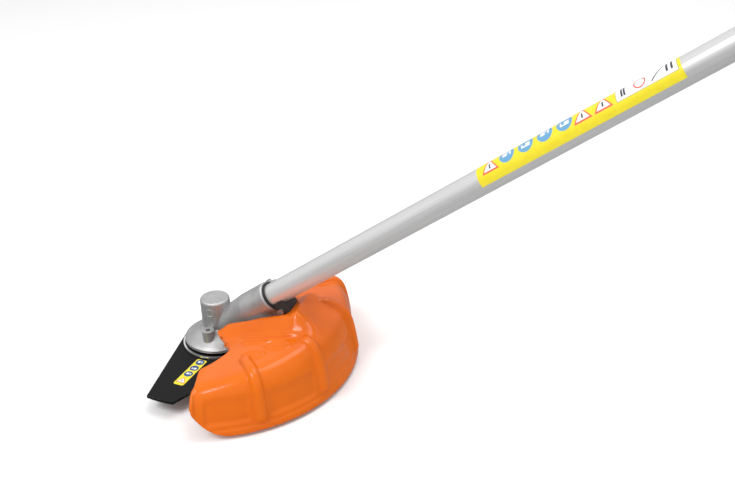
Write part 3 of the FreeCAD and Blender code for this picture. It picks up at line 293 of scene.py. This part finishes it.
def machined_steel(name="machined_steel", tint=(0.60, 0.60, 0.61), rough=0.28):
    """Zinc-plated steel with turning marks and a few dull patches."""
    f = Finish(name)
    marks = f.noise(1200.0, 3.0, 0.6, stretch=(1.0, 1.0, 0.1))
    dull = f.noise(60.0, 4.0).step(0.45, 0.7)
    colour = f.mix(dull, tint, tuple(0.75 * part for part in tint))
    return f.done(Base_Color=colour, Metallic=1.0, Roughness=rough + marks * 0.14 + dull * 0.12,
                  Normal=f.bump(marks, 0.00005, 0.6))


def thrust_rim():
    """Thrust plate: dark between its faces, polished bright at the rim."""
    f = Finish("thrust_rim")
    x, y, _ = f.split()
    reach = (x * x + y * y).root()
    rim = reach.step(0.0405, 0.0415)
    marks = f.noise(1500.0, 3.0)
    colour = f.mix(rim, (0.05, 0.05, 0.05), (0.88, 0.88, 0.88))
    return f.done(Base_Color=colour, Metallic=0.9, Roughness=0.42 - rim * 0.2 + marks * 0.08,
                  Normal=f.bump(marks, 0.00004, 0.5))


def blade_coat():
    """Black stoved coat, ground bright only along the bevels."""
    f = Finish("blade_coat")
    grain = f.noise(700.0, 4.0, 0.7)
    drag = f.noise(90.0, 4.0, 0.6, stretch=(5.0, 0.6, 1.0)).step(0.6, 0.8)
    colour = f.mix(drag * 0.4, (0.004, 0.004, 0.0045), (0.016, 0.016, 0.017))
    worn = f.edge(0.0006) * f.noise(220.0, 3.0).step(0.45, 0.6)
    colour = f.mix(worn * 0.5, colour, (0.35, 0.35, 0.36))
    return f.done(Base_Color=colour, Metallic=0.2, Roughness=0.46 + grain * 0.1 - worn * 0.15,
                  Specular_IOR_Level=0.22, Normal=f.bump(grain, 0.00008, 0.5))


def nylon(name, tone, rough=0.5, dusty=2.2, rubbed=(0.12, 0.12, 0.12)):
    """Spark-eroded nylon with fine grain, a film of dust and paler rubbed edges."""
    f = Finish(name)
    grain = f.noise(1300.0, 3.0, 0.7)
    dust = f.noise(35.0, 5.0).step(0.5, 0.75)
    colour = f.mix(dust * 0.5, tone, tuple(dusty * part for part in tone))
    worn = f.edge(0.0008)
    colour = f.mix(worn * 0.35, colour, rubbed)
    return f.done(Base_Color=colour, Roughness=rough + grain * 0.15 - worn * 0.1,
                  Normal=f.bump(grain, 0.00015, 0.6))


def grip_rubber():
    """Soft black rubber with a diamond knurl and dusty grooves."""
    f = Finish("grip_rubber")
    x, y, z = f.split()
    first = ((x + y * 0.6 + z * 0.4) * 1500.0).sin()
    second = ((x * 0.4 - y + z * 0.7) * 1500.0).sin()
    knurl = (first * second).step(-0.4, 0.5)
    dust = f.noise(80.0, 4.0).step(0.4, 0.7)
    colour = f.mix((1.0 - knurl) * dust * 0.5, (0.016, 0.016, 0.016), (0.07, 0.068, 0.062))
    return f.done(Base_Color=colour, Roughness=0.72 - knurl * 0.1, Normal=f.bump(knurl, 0.0003, 0.6))


def tank_plastic():
    """Milky blow-moulded tank, darker where the fuel stands."""
    f = Finish("tank_plastic")
    up = f.split(f.along_tube())[2]
    fuel = up.step(-0.070, -0.078)
    cloud = f.noise(30.0, 4.0)
    colour = f.mix(fuel * 0.6, (0.78, 0.77, 0.72), (0.62, 0.53, 0.40))
    colour = f.mix(cloud.step(0.4, 0.7) * 0.2, colour, (0.88, 0.87, 0.84))
    return f.done(Base_Color=colour, Roughness=0.38 + cloud * 0.1, Coat_Weight=0.1,
                  Normal=f.bump(f.noise(500.0, 3.0) + cloud, 0.0003, 0.4))


def burnt_steel():
    """Muffler sheet, soot-grey with straw and blue heat tints."""
    f = Finish("burnt_steel")
    heat = f.noise(28.0, 4.0)
    grain = f.noise(900.0, 3.0)
    colour = f.mix(heat.step(0.35, 0.6), (0.07, 0.07, 0.072), (0.17, 0.13, 0.09))
    colour = f.mix(heat.step(0.6, 0.75), colour, (0.08, 0.09, 0.13))
    return f.done(Base_Color=colour, Metallic=0.7, Roughness=0.5 + grain * 0.15,
                  Normal=f.bump(grain, 0.0001, 0.6))


def filter_felt():
    """Pleated filter felt with fibres, painted darker in the pleat folds as shade and paler on the crests as
    a grey film of dust.
    """
    f = Finish("filter_felt")
    x = f.split(f.along_tube())[0]
    pleat = (x * 1400.0).sin()
    fibre = f.noise(2500.0, 4.0, 0.8)
    # painted shade: the colour follows the pleats, darker in the folds and paler on the crests
    colour = f.mix((pleat * 0.5 + 0.5) * 0.6, (0.42, 0.38, 0.28), (0.62, 0.58, 0.46))
    return f.done(Base_Color=colour, Roughness=0.92, Sheen_Weight=0.2,
                  Normal=f.bump(pleat + fibre * 0.5, 0.0006, 0.8))


def disc(x, y, at, radius):
    """Mask of a disc in two flat coordinates."""
    dx, dy = x - at[0], y - at[1]
    return (dx * dx + dy * dy).root().step(radius + SOFT, radius - SOFT)


def slab(x, y, at, half_x, half_y):
    """Mask of a rectangle with a soft edge."""
    across = ((x - at[0]).abs() - half_x).step(SOFT, -SOFT)
    return across * ((y - at[1]).abs() - half_y).step(SOFT, -SOFT)


def wedge_up(x, y, at, size):
    """Mask of an upright triangle, base at the bottom."""
    rise = y - at[1] + size * 0.5
    side = (x - at[0]).abs() + rise * 0.577
    return side.step(size * 0.577 + SOFT, size * 0.577 - SOFT) * rise.step(-SOFT, SOFT)


WHITE = (0.86, 0.86, 0.86)
YELLOW = (0.80, 0.66, 0.006)
BLUE = (0.12, 0.34, 0.56)
DEEP_BLUE = (0.012, 0.07, 0.22)
RED = (0.80, 0.10, 0.05)
INK = (0.03, 0.03, 0.05)


def sign_triangle(f, colour, x, y, at, size):
    """Red-edged white triangle with one plain bar."""
    colour = f.mix(wedge_up(x, y, at, size), colour, RED)
    colour = f.mix(wedge_up(x, y, (at[0], at[1] - size * 0.02), size * 0.74), colour, WHITE)
    return f.mix(slab(x, y, (at[0], at[1] - size * 0.12), size * 0.05, size * 0.17), colour, INK)


def sign_disc(f, colour, x, y, at, radius, turn, ground=BLUE):
    """Blue disc with a plain white bar and a dot."""
    colour = f.mix(disc(x, y, at, radius), colour, ground)
    bar = slab(x, y, (at[0], at[1] + turn * radius * 0.1), radius * 0.55, radius * 0.3)
    colour = f.mix(bar, colour, WHITE)
    return f.mix(disc(x, y, (at[0] + turn * radius * 0.2, at[1]), radius * 0.22), colour, ground)


def tube_print():
    """Yellow film with plain signs along it: triangles, discs and one white panel."""
    f = Finish("tube_print")
    along, right, up = f.split(f.along_tube())
    turn = up.angle(right).wrap(2.0 * math.pi)
    across = (PRINT_START - turn) * TUBE_R
    wear = f.noise(140.0, 4.0)
    colour = f.mix(wear.step(0.3, 0.7), YELLOW, (0.83, 0.70, 0.012))
    row = SIGN_ROW
    colour = sign_triangle(f, colour, along, across, (FIRST_TRIANGLE, row), TRIANGLE_SIZE)
    for k in range(4):
        at = (FIRST_DISC + SIGN_PITCH * k, row + 0.001)
        colour = sign_disc(f, colour, along, across, at, DISC_R, (-1) ** k)
    for k in range(2):
        colour = sign_triangle(f, colour, along, across, (NEXT_TRIANGLE + SIGN_PITCH * k, row), TRIANGLE_SIZE)
    middle = (WHITE_PANEL_AT, row + 0.002)
    outline = [half + WHITE_PANEL_LINE for half in WHITE_PANEL_HALF]
    colour = f.mix(slab(along, across, middle, *outline), colour, (0.25, 0.22, 0.03))
    colour = f.mix(slab(along, across, middle, *WHITE_PANEL_HALF), colour, WHITE)
    for k in range(2):
        at = (FIRST_BARS + FIRST_BARS_PITCH * k, row)
        colour = f.mix(slab(along, across, at, 0.0010, 0.0055), colour, INK)
    ring_mark = disc(along, across, (RING_AT, row), RING_R) - disc(along, across, (RING_AT, row), RING_HOLE_R)
    colour = f.mix(ring_mark.clamp(), colour, RED)
    slope = slab(along, across - (along - SLOPE_AT) * SLOPE_RISE, (SLOPE_AT, row), 0.007, 0.0008)
    colour = f.mix(slope, colour, INK)
    for k in range(2):
        at = (LAST_BARS + LAST_BARS_PITCH * k, row + 0.001)
        colour = f.mix(slab(along, across, at, 0.0011, 0.0055), colour, INK)
    return f.done(Base_Color=colour, Roughness=0.32 + wear * 0.12, Coat_Weight=0.3, Coat_Roughness=0.2,
                  Normal=f.bump(wear, 0.00005, 0.4))


def blade_print():
    """Yellow film on the blade: a triangle and three discs."""
    f = Finish("blade_print")
    at = f.node("ShaderNodeMapping", {"vector_type": "TEXTURE"},
                {"Vector": f.place, "Rotation": (0.0, 0.0, BLADE_LABEL_TURN)})
    out, side, _ = f.split(at)
    wear = f.noise(200.0, 4.0)
    colour = f.mix(wear.step(0.3, 0.7), YELLOW, (0.90, 0.76, 0.03))
    colour = sign_triangle(f, colour, side, out * -1.0, (BLADE_ROW, BLADE_TRIANGLE_AT), BLADE_TRIANGLE_SIZE)
    for k in range(3):
        spot = (BLADE_ROW, BLADE_DISC_AT + BLADE_DISC_PITCH * k)
        colour = sign_disc(f, colour, side, out * -1.0, spot, BLADE_DISC_R, (-1) ** k, DEEP_BLUE)
    return f.done(Base_Color=colour, Roughness=0.35 + wear * 0.1, Coat_Weight=0.2,
                  Normal=f.bump(wear, 0.00005, 0.4))


# ---- deflector --------------------------------------------------------------
def ease(value):
    """Smooth rise from 0 to 1 while the value goes from 0 to 1."""
    t = np.clip(value, 0.0, 1.0)
    return t * t * (3.0 - 2.0 * t)


def guard_edge(share):
    """Inner edge in plan: round the head, up to the arm, under the tube and back down the far side."""
    marks, ends = np.array(GUARD_EDGE)[:, 0], np.array(GUARD_EDGE)[:, 1:]
    last = len(marks) - 1
    here = np.clip(np.searchsorted(marks, share, side="right") - 1, 0, last - 1)

    def slope(k):
        before, after = np.maximum(k - 1, 0), np.minimum(k + 1, last)
        return (ends[after] - ends[before]) / (marks[after] - marks[before])[..., None]

    span = (marks[here + 1] - marks[here])[..., None]
    t = (share - marks[here])[..., None] / span
    return (ends[here] * (2 * t ** 3 - 3 * t ** 2 + 1) + slope(here) * (span * (t ** 3 - 2 * t ** 2 + t))
            + ends[here + 1] * (3 * t ** 2 - 2 * t ** 3) + slope(here + 1) * (span * (t ** 3 - t ** 2)))


def rounded_end(distance, length, height):
    """How far a corner with an elliptical rounding lifts off the rim line."""
    left = 1.0 - np.clip(distance / length, 0.0, 1.0)
    return height * (1.0 - np.sqrt(np.clip(1.0 - left ** 2, 0.0, 1.0)))


def guard_top(x, y):
    """Height of the top face: a tilted plane, a seat under the tube and a lip on each side of it."""
    base = GUARD_TOP_Z + GUARD_SLOPE * np.clip(x - GUARD_SLOPE_FROM, 0.0, None)
    seat = APEX.z + x * math.tan(TUBE_ANGLE) + GUARD_SEAT_W / math.cos(TUBE_ANGLE)
    low = np.maximum(base, np.minimum(seat, GUARD_CREST_Z))
    high = np.maximum(low, GUARD_LIP_Z + GUARD_LIP_SLOPE * x)
    side = np.abs(y)
    level = low + (high - low) * ease((side - LIP_SIDE) / LIP_BLEND)
    beside = 1.0 - ease((side - HUMP_SIDE) / HUMP_SIDE_BLEND)
    hump = beside * (1.0 - ease((x - HUMP_OUT) / HUMP_OUT_BLEND)) * ease((x - HUMP_IN) / HUMP_IN_BLEND)
    return base + (level - base) * hump


def guard_form(share, down):
    """Outer face: from the inner edge (0) flat to the knee (half) and over the shoulder to the rim (1)."""
    angle = GUARD_FROM + (GUARD_TO - GUARD_FROM) * share
    lean = GUARD_LEAN - GUARD_LEAN_FALL * (angle - GUARD_FROM)
    rim = GUARD_RIM_Z + rounded_end(np.radians(angle - GUARD_FROM) * GUARD_R, *NEAR_CORNER)
    rim = rim + rounded_end(np.radians(GUARD_TO - angle) * GUARD_R, *FAR_CORNER)
    turn = np.radians(90.0 * (1.0 - np.clip(2.0 * down - 1.0, 0.0, 1.0)))
    flat = np.where(down > 0.5, np.clip(np.cos(turn), 0.0, 1.0) ** SHOULDER_POWER, 0.0)
    lift = np.clip(np.sin(turn), 0.0, 1.0) ** SHOULDER_POWER
    ray = np.stack([np.cos(np.radians(angle)), np.sin(np.radians(angle))], axis=-1)
    edge = guard_edge(share)
    knee = ray * (GUARD_R - lean - SHOULDER)[..., None]
    top = edge + (knee - edge) * np.clip(2.0 * down, 0.0, 1.0)[..., None]
    skirt = ray * (GUARD_R - lean * lift - SHOULDER * (1.0 - flat))[..., None]
    spot = np.where((down < 0.5)[..., None], top, skirt)
    z = rim + (guard_top(spot[..., 0], spot[..., 1]) - rim) * lift
    return np.concatenate([spot, z[..., None]], axis=-1)


def oval(points, at, half, ring):
    """Ring-shaped emboss round a point of the top, in plan."""
    reach = np.hypot((points[..., 0] - at[0]) / half[0], (points[..., 1] - at[1]) / half[1])
    return np.exp(-((reach - 1.0) / ring) ** 2)


def guard_relief(angle, points):
    """Raised ribs, sunk panels, creases, oval embosses and the rolled bead, metres outwards."""
    x, y, z = points[..., 0], points[..., 1], points[..., 2]
    reach = np.hypot(x, y)
    height = z - GUARD_RIM_Z
    rise = np.zeros_like(angle)
    for at, start in zip(RIBS, RIB_STARTS):
        across = (angle - at) * math.radians(1.0) * reach
        rib = np.clip(1.0 - (np.abs(across) / RIB_HALF) ** 2.4, 0.0, None) ** 0.75
        length = ease((reach - start) / 0.012) * ease((height - 0.007) / 0.009)
        rise = np.maximum(rise, rib * length * RIB_RISE)
    edges = [GUARD_FROM] + list(RIBS) + [GUARD_TO - 2.0]
    for left, right in zip(edges, edges[1:]):
        middle, half = (left + right) / 2.0, (right - left) / 2.0 - 3.2
        across = ease((half - np.abs(angle - middle)) / 2.2)
        updown = ease((height - 0.011) / 0.006) * ease((0.046 - height) / 0.012) * (reach > 0.145)
        rise = rise - PANEL_DEPTH * across * updown
    for start, end, width in CREASES:
        along = (x - start[0]) / (end[0] - start[0])
        line = start[1] + (end[1] - start[1]) * along
        fade = ease(along / 0.15) * ease((1.0 - along) / 0.25)
        on_top = z > GUARD_TOP_Z - 0.002
        rise = rise + CREASE_RISE * np.exp(-((y - line) / width) ** 2) * fade * on_top
    for at, half in OVALS:
        rise = rise + OVAL_RISE * oval(points, at, half, 0.13)
        rise = rise + OVAL_CORE_RISE * oval(points, at, (half[0] * 0.5, half[1] * 0.4), 0.4)
    return rise + BEAD_RISE * ease((BEAD_HEIGHT - height) / 0.004)


def deflector_shell(finish):
    """The deflector's moulded skin with its relief and its wall."""
    count_a, count_s = SKIN_ROUND, SKIN_DOWN
    shares = np.linspace(0.0, 1.0, count_a)
    # close spacing after the knee and before the rim, where the shoulder turns fastest
    knee = np.geomspace(1e-6, 0.02, 60)
    fine = np.concatenate([np.linspace(0.0, 0.5, 120), 0.5 + knee, np.linspace(0.52, 0.98, 200),
                           1.0 - knee[::-1], [1.0]])
    share_grid, down_grid = np.meshgrid(shares, fine, indexing="ij")
    lines = guard_form(share_grid, down_grid)
    downs = []
    for line in lines:
        run = np.concatenate([[0.0], np.cumsum(np.linalg.norm(np.diff(line, axis=0), axis=1))])
        downs.append(np.interp(np.linspace(0.0, run[-1], count_s), run, fine))
    down = np.array(downs)
    share = np.repeat(shares[:, None], count_s, axis=1)
    angle = GUARD_FROM + (GUARD_TO - GUARD_FROM) * share
    points = guard_form(share, down)

    def normals(grid):
        normal = np.cross(np.gradient(grid, axis=1), np.gradient(grid, axis=0))
        return normal / np.maximum(np.linalg.norm(normal, axis=-1, keepdims=True), 1e-12)

    points = points + normals(points) * guard_relief(angle, points)[..., None]
    outer = points.reshape(-1, 3)
    inner = (points - normals(points) * GUARD_T).reshape(-1, 3)
    total = len(outer)
    faces = []
    for i in range(count_a - 1):
        for j in range(count_s - 1):
            a, b = i * count_s + j, i * count_s + j + 1
            c, d = a + count_s, b + count_s
            faces.append((a, b, d, c))
            faces.append((total + a, total + c, total + d, total + b))
    rim = ([(i * count_s, (i + 1) * count_s) for i in range(count_a - 1)]
           + [((count_a - 1) * count_s + j, (count_a - 1) * count_s + j + 1) for j in range(count_s - 1)]
           + [((i + 1) * count_s + count_s - 1, i * count_s + count_s - 1) for i in range(count_a - 1)]
           + [(j + 1, j) for j in range(count_s - 1)])
    faces += [(a, b, total + b, total + a) for a, b in rim]
    return tidy(mesh_piece("deflector_skin", np.concatenate([outer, inner]), faces, finish))


# ---- mesh helpers -----------------------------------------------------------
def mesh_piece(name, points, faces, finish, smooth=True):
    """A new piece from points and faces, with one finish."""
    mesh = bpy.data.meshes.new(name)
    mesh.from_pydata([tuple(p) for p in points], [], faces)
    mesh.materials.append(finish)
    if smooth:
        mesh.polygons.foreach_set("use_smooth", [True] * len(mesh.polygons))
    piece = bpy.data.objects.new(name, mesh)
    bpy.context.scene.collection.objects.link(piece)
    return piece


def tidy(piece):
    """Merge doubles and turn every face outwards."""
    work = bmesh.new()
    work.from_mesh(piece.data)
    bmesh.ops.remove_doubles(work, verts=work.verts, dist=1e-7)
    bmesh.ops.recalc_face_normals(work, faces=work.faces)
    work.to_mesh(piece.data)
    work.free()
    return piece


# ---- pieces grown by rules --------------------------------------------------
RIDGE_PITCH, RIDGE_MARGIN, RIDGE_SECTION, RIDGE_SINK = 0.0052, 0.014, 0.0011, 0.0004
MARK_R, MARK_SECTION = 0.0046, 0.0005
SLATS = {"Count": 28, "Reach": 0.030, "Length": 0.018, "Width": 0.0026, "Height": 0.0024}


def grown_tree(name, sizes):
    """A geometry tree with named inputs; returns the web and its inputs."""
    tree = bpy.data.node_groups.new(name, "GeometryNodeTree")
    tree.interface.new_socket("Geometry", in_out="OUTPUT", socket_type="NodeSocketGeometry")
    for title, kind in sizes.items():
        tree.interface.new_socket(title, in_out="INPUT", socket_type="NodeSocket" + kind)
    web = Web(tree)
    entry = tree.nodes.new("NodeGroupInput")
    return web, {title: Value(web, entry.outputs[title]) for title in sizes}


def finish_tree(web, instances, material):
    """Realize, dress and hand out."""
    real = web.node("GeometryNodeRealizeInstances", {}, {"Geometry": instances})
    dressed = web.node("GeometryNodeSetMaterial", {}, {"Geometry": real, "Material": material})
    end = web.tree.nodes.new("NodeGroupOutput")
    web.tree.links.new(dressed.socket, end.inputs[0])
    return web.tree


def ridge_tree():
    """Rings of round section in a row along Z."""
    web, given = grown_tree("ridges", {"Count": "Int", "Pitch": "Float", "Radius": "Float",
                                       "Section": "Float", "Material": "Material"})
    offset = web.node("ShaderNodeCombineXYZ", {}, {"Z": given["Pitch"]})
    spots = web.node("GeometryNodeMeshLine", {"mode": "OFFSET"}, {"Count": given["Count"], "Offset": offset})
    loop = web.node("GeometryNodeCurvePrimitiveCircle", {"mode": "RADIUS"},
                    {"Resolution": 56, "Radius": given["Radius"]})
    section = web.node("GeometryNodeCurvePrimitiveCircle", {"mode": "RADIUS"},
                       {"Resolution": 10, "Radius": given["Section"]})
    ring = web.node("GeometryNodeCurveToMesh", {}, {"Curve": loop, "Profile Curve": section})
    placed = web.node("GeometryNodeInstanceOnPoints", {}, {"Points": spots, "Instance": ring})
    return finish_tree(web, placed, given["Material"])


def slat_tree():
    """Flat slats standing round the Z axis like spokes."""
    web, given = grown_tree("slats", {"Count": "Int", "Reach": "Float", "Length": "Float", "Width": "Float",
                                      "Height": "Float", "Material": "Material"})
    spots = web.node("GeometryNodeMeshLine", {"mode": "OFFSET"},
                     {"Count": given["Count"], "Offset": (0.0, 0.0, 0.0)})
    size = web.node("ShaderNodeCombineXYZ", {},
                    {"X": given["Length"], "Y": given["Width"], "Z": given["Height"]})
    slat = web.node("GeometryNodeMeshCube", {}, {"Size": size})
    out = web.node("ShaderNodeCombineXYZ", {}, {"X": given["Reach"]})
    slat = web.node("GeometryNodeTransform", {}, {"Geometry": slat, "Translation": out})
    turn = web.node("GeometryNodeInputIndex") * (2.0 * math.pi) / given["Count"]
    spin = web.node("ShaderNodeCombineXYZ", {}, {"Z": turn})
    placed = web.node("GeometryNodeInstanceOnPoints", {},
                      {"Points": spots, "Instance": slat, "Rotation": spin})
    return finish_tree(web, placed, given["Material"])


def grow(name, tree, place, **given):
    """Runs a tree once, keeps its result as a plain mesh and puts it in its place."""
    piece = bpy.data.objects.new(name, bpy.data.meshes.new(name + "_seed"))
    bpy.context.scene.collection.objects.link(piece)
    modifier = piece.modifiers.new("grow", "NODES")
    modifier.node_group = tree
    for item in tree.interface.items_tree:
        if item.in_out == "INPUT":
            modifier[item.identifier] = given[item.name]
    graph = bpy.context.evaluated_depsgraph_get()
    mesh = bpy.data.meshes.new_from_object(piece.evaluated_get(graph))
    piece.modifiers.clear()
    piece.data = mesh
    mesh.transform(place)
    return piece


def line_of(node):
    """Centre line of a long round node: middle, direction, half length and radius."""
    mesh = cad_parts[node].data
    points = np.empty(len(mesh.vertices) * 3)
    mesh.vertices.foreach_get("co", points)
    points = points.reshape(-1, 3)
    low, high = points.min(axis=0), points.max(axis=0)
    middle = (low + high) / 2.0
    way = np.linalg.svd(points - points.mean(axis=0), full_matrices=False)[2][0]
    run = (points - middle) @ way
    middle = middle + way * (run.max() + run.min()) / 2.0
    run = (points - middle) @ way
    aside = np.linalg.norm(points - middle - run[:, None] * way, axis=1)
    return Vector(middle), Vector(way), run.max(), aside.max()


def facing(direction, at):
    """Matrix that turns +Z to a direction and moves to a place."""
    return Matrix.Translation(at) @ direction.to_track_quat("Z", "Y").to_matrix().to_4x4()


def grip_ridges(tree):
    """Rubber rings along the left grip."""
    middle, way, half, radius = line_of("left_grip")
    count = int((2.0 * half - 2.0 * RIDGE_MARGIN) / RIDGE_PITCH) + 1
    start = middle - way * (RIDGE_PITCH * (count - 1) / 2.0)
    piece = grow("left_grip_ridges", tree, facing(way, start), Count=count, Pitch=RIDGE_PITCH,
                 Radius=radius - RIDGE_SINK, Section=RIDGE_SECTION, Material=FINISHES["rubber"])
    mesh_smooth(piece)
    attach(piece, "handlebar")


def boss_mark(tree):
    """Plain cast ring, bent round the side of the boss."""
    piece = grow("boss_mark", tree, Matrix.Identity(4), Count=1, Pitch=0.0, Radius=MARK_R,
                 Section=MARK_SECTION, Material=FINISHES["cast"])
    for vertex in piece.data.vertices:
        across, up, out = vertex.co
        turn = BOSS_MARK_TURN + across / BOSS_R
        vertex.co = ((BOSS_R + out) * math.cos(turn), (BOSS_R + out) * math.sin(turn), BOSS_MARK_Z + up)
    mesh_smooth(piece)
    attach(piece, "frame")


def starter_slats(tree):
    """Slats of the cooling grille on the end of the starter housing."""
    along = tube_point(1.0, 0.0, 0.0) - tube_point(0.0, 0.0, 0.0)
    place = facing(along, tube_point(STARTER_END_U, 0.0, 0.0))
    piece = grow("starter_slats", tree, place, **SLATS, Material=FINISHES["black"])
    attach(piece, "frame")


def mesh_smooth(piece):
    """Shade every face of a piece smooth."""
    piece.data.polygons.foreach_set("use_smooth", [True] * len(piece.data.polygons))


FINISHES = {
    "orange": moulded_orange(),
    "cast": cast_metal(),
    "tube": drawn_tube(),
    "steel": machined_steel(),
    "rim": thrust_rim(),
    "blade": blade_coat(),
    "black": nylon("black_plastic", (0.022, 0.022, 0.023)),
    "rubber": grip_rubber(),
    "tank": tank_plastic(),
    "burnt": burnt_steel(),
    "felt": filter_felt(),
    "tube_print": tube_print(),
    "blade_print": blade_print(),
    "grey": nylon("grey_plastic", (0.10, 0.10, 0.10), 0.45),
    "bar": nylon("bar_enamel", (0.03, 0.03, 0.03), 0.22),
    "red": nylon("red_plastic", (0.48, 0.02, 0.012), 0.36, 1.25, (0.75, 0.20, 0.15)),
    "bulb": nylon("primer_rubber", (0.24, 0.016, 0.014), 0.42, 1.3, (0.40, 0.10, 0.08)),
    "engine": machined_steel("engine_alloy", (0.52, 0.52, 0.53), 0.42),
}

WORN_BY = {
    "cast": ["gear_housing", "clutch_housing", "crankcase"],
    "tube": ["shaft_tube"],
    "steel": ["grease_plug", "output_shaft", "crown_gear", "head_bearings", "circlips", "pinion",
              "thrust_washer", "riding_plate", "arbor_nut", "guard_screws", "tube_clamp_screws",
              "drive_shaft", "wing_screw", "lever_pins", "engine_bearings", "clutch_drum",
              "clutch_shoes", "crankshaft", "spark_plug", "throttle_valve"],
    "rim": ["thrust_plate"],
    "blade": ["blade"],
    "tube_print": ["tube_label"],
    "blade_print": ["blade_label"],
    "orange": ["deflector", "engine_cover", "choke_lever"],
    # the guard bracket is a real part, but its black colour is painted shade: it stands for the dark shadow
    # in the gap between the arm and the deflector
    "black": ["guard_bracket", "carrying_ring", "handle_base", "handle_under_clamp",
              "handlebar_clamp_lower", "handlebar_clamp_cap", "control_handle_left",
              "control_handle_right", "throttle_trigger", "trigger_lockout", "air_filter_cover",
              "starter_housing", "starter_grip", "fuel_cap"],
    "rubber": ["left_grip", "socket_seal", "plug_boot"],
    "bulb": ["primer_bulb"],
    "grey": ["drive_bushes", "starter_pulley"],
    "bar": ["handlebar"],
    "red": ["stop_switch"],
    "tank": ["fuel_tank"],
    "burnt": ["muffler"],
    "felt": ["air_filter"],
    "engine": ["cylinder", "piston", "flywheel", "carburettor"],
}


def dress_nodes():
    """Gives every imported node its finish."""
    for finish, nodes in WORN_BY.items():
        for node in nodes:
            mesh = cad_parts[node].data
            mesh.materials.clear()
            mesh.materials.append(FINISHES[finish])


# ---- studio -----------------------------------------------------------------
SENSOR_MM, LENS_MM = 36.0, 51.92
CAMERA_AZIMUTH, CAMERA_ELEVATION, CAMERA_ROLL = math.radians(18.79), math.radians(28.30), math.radians(-1.80)
CAMERA_AT = (0.5250, -0.9701, 0.7086 + RIM_Z)
SKY_LOW, SKY_RISE = 0.38, 0.62          # light from below, and what is added towards the top
KEY_WATTS, OVER_WATTS = 29.0, 21.0
FLOOR_HALF, FLOOR_Z = 6.0, -0.0005


def camera():
    """Seen from the operator's left, a little ahead of the gear head and above it."""
    lens = bpy.data.cameras.new("camera")
    lens.sensor_width = SENSOR_MM
    lens.lens = LENS_MM
    lens.clip_start = 0.01
    azimuth, elevation, roll = CAMERA_AZIMUTH, CAMERA_ELEVATION, CAMERA_ROLL
    back = Vector((math.sin(azimuth) * math.cos(elevation), -math.cos(azimuth) * math.cos(elevation),
                   math.sin(elevation)))
    right = Vector((math.cos(azimuth), math.sin(azimuth), 0.0))
    up = back.cross(right)
    turned_right = right * math.cos(roll) + up * math.sin(roll)
    turned_up = up * math.cos(roll) - right * math.sin(roll)
    seat = Matrix((turned_right, turned_up, back)).transposed().to_4x4()
    seat.translation = Vector(CAMERA_AT)
    thing = bpy.data.objects.new("camera", lens)
    thing.matrix_world = seat
    bpy.context.scene.collection.objects.link(thing)
    bpy.context.scene.camera = thing


def soft_light(name, at, aim, size, power):
    """Square lamp at a place, aimed at another."""
    light = bpy.data.lights.new(name, "AREA")
    light.energy = power
    light.size = size
    thing = bpy.data.objects.new(name, light)
    thing.location = at
    thing.rotation_euler = (Vector(at) - Vector(aim)).to_track_quat("Z", "Y").to_euler()
    bpy.context.scene.collection.objects.link(thing)


def studio():
    """White floor, an even sky that is dimmer below, and two soft lights."""
    world = bpy.data.worlds.new("studio")
    world.use_nodes = True
    sky = Web(world.node_tree)
    sky.tree.nodes.clear()
    way = sky.node("ShaderNodeTexCoord", out=0)
    height = sky.node("ShaderNodeSeparateXYZ", {}, {0: way}, out=2)
    glow = sky.node("ShaderNodeBackground", {}, {"Strength": height.step(-0.15, 0.45) * SKY_RISE + SKY_LOW})
    end = sky.tree.nodes.new("ShaderNodeOutputWorld")
    sky.tree.links.new(glow.socket, end.inputs["Surface"])
    bpy.context.scene.world = world
    bpy.context.scene.view_settings.view_transform = "Standard"
    soft_light("key", (-0.6, -1.4, 2.2), (0.15, 0.0, 0.05), 1.0, KEY_WATTS)
    soft_light("over", (0.6, 0.6, 2.4), (0.3, 0.0, 0.1), 1.6, OVER_WATTS)
    f = Finish("paper")
    tone = f.noise(3.0, 2.0)
    paper = f.done(Base_Color=f.mix(tone, (0.90, 0.90, 0.90), (0.94, 0.94, 0.94)), Roughness=0.9)
    corners = [(x * FLOOR_HALF, y * FLOOR_HALF, FLOOR_Z) for x, y in ((-1, -1), (1, -1), (1, 1), (-1, 1))]
    floor = mesh_piece("floor", corners, [(0, 1, 2, 3)], paper, smooth=False)
    floor.visible_glossy = False


dress_nodes()
skin = deflector_shell(FINISHES["orange"])
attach(skin, "frame")
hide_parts("deflector")
rings = ridge_tree()
grip_ridges(rings)
boss_mark(rings)
starter_slats(slat_tree())
studio()
camera()
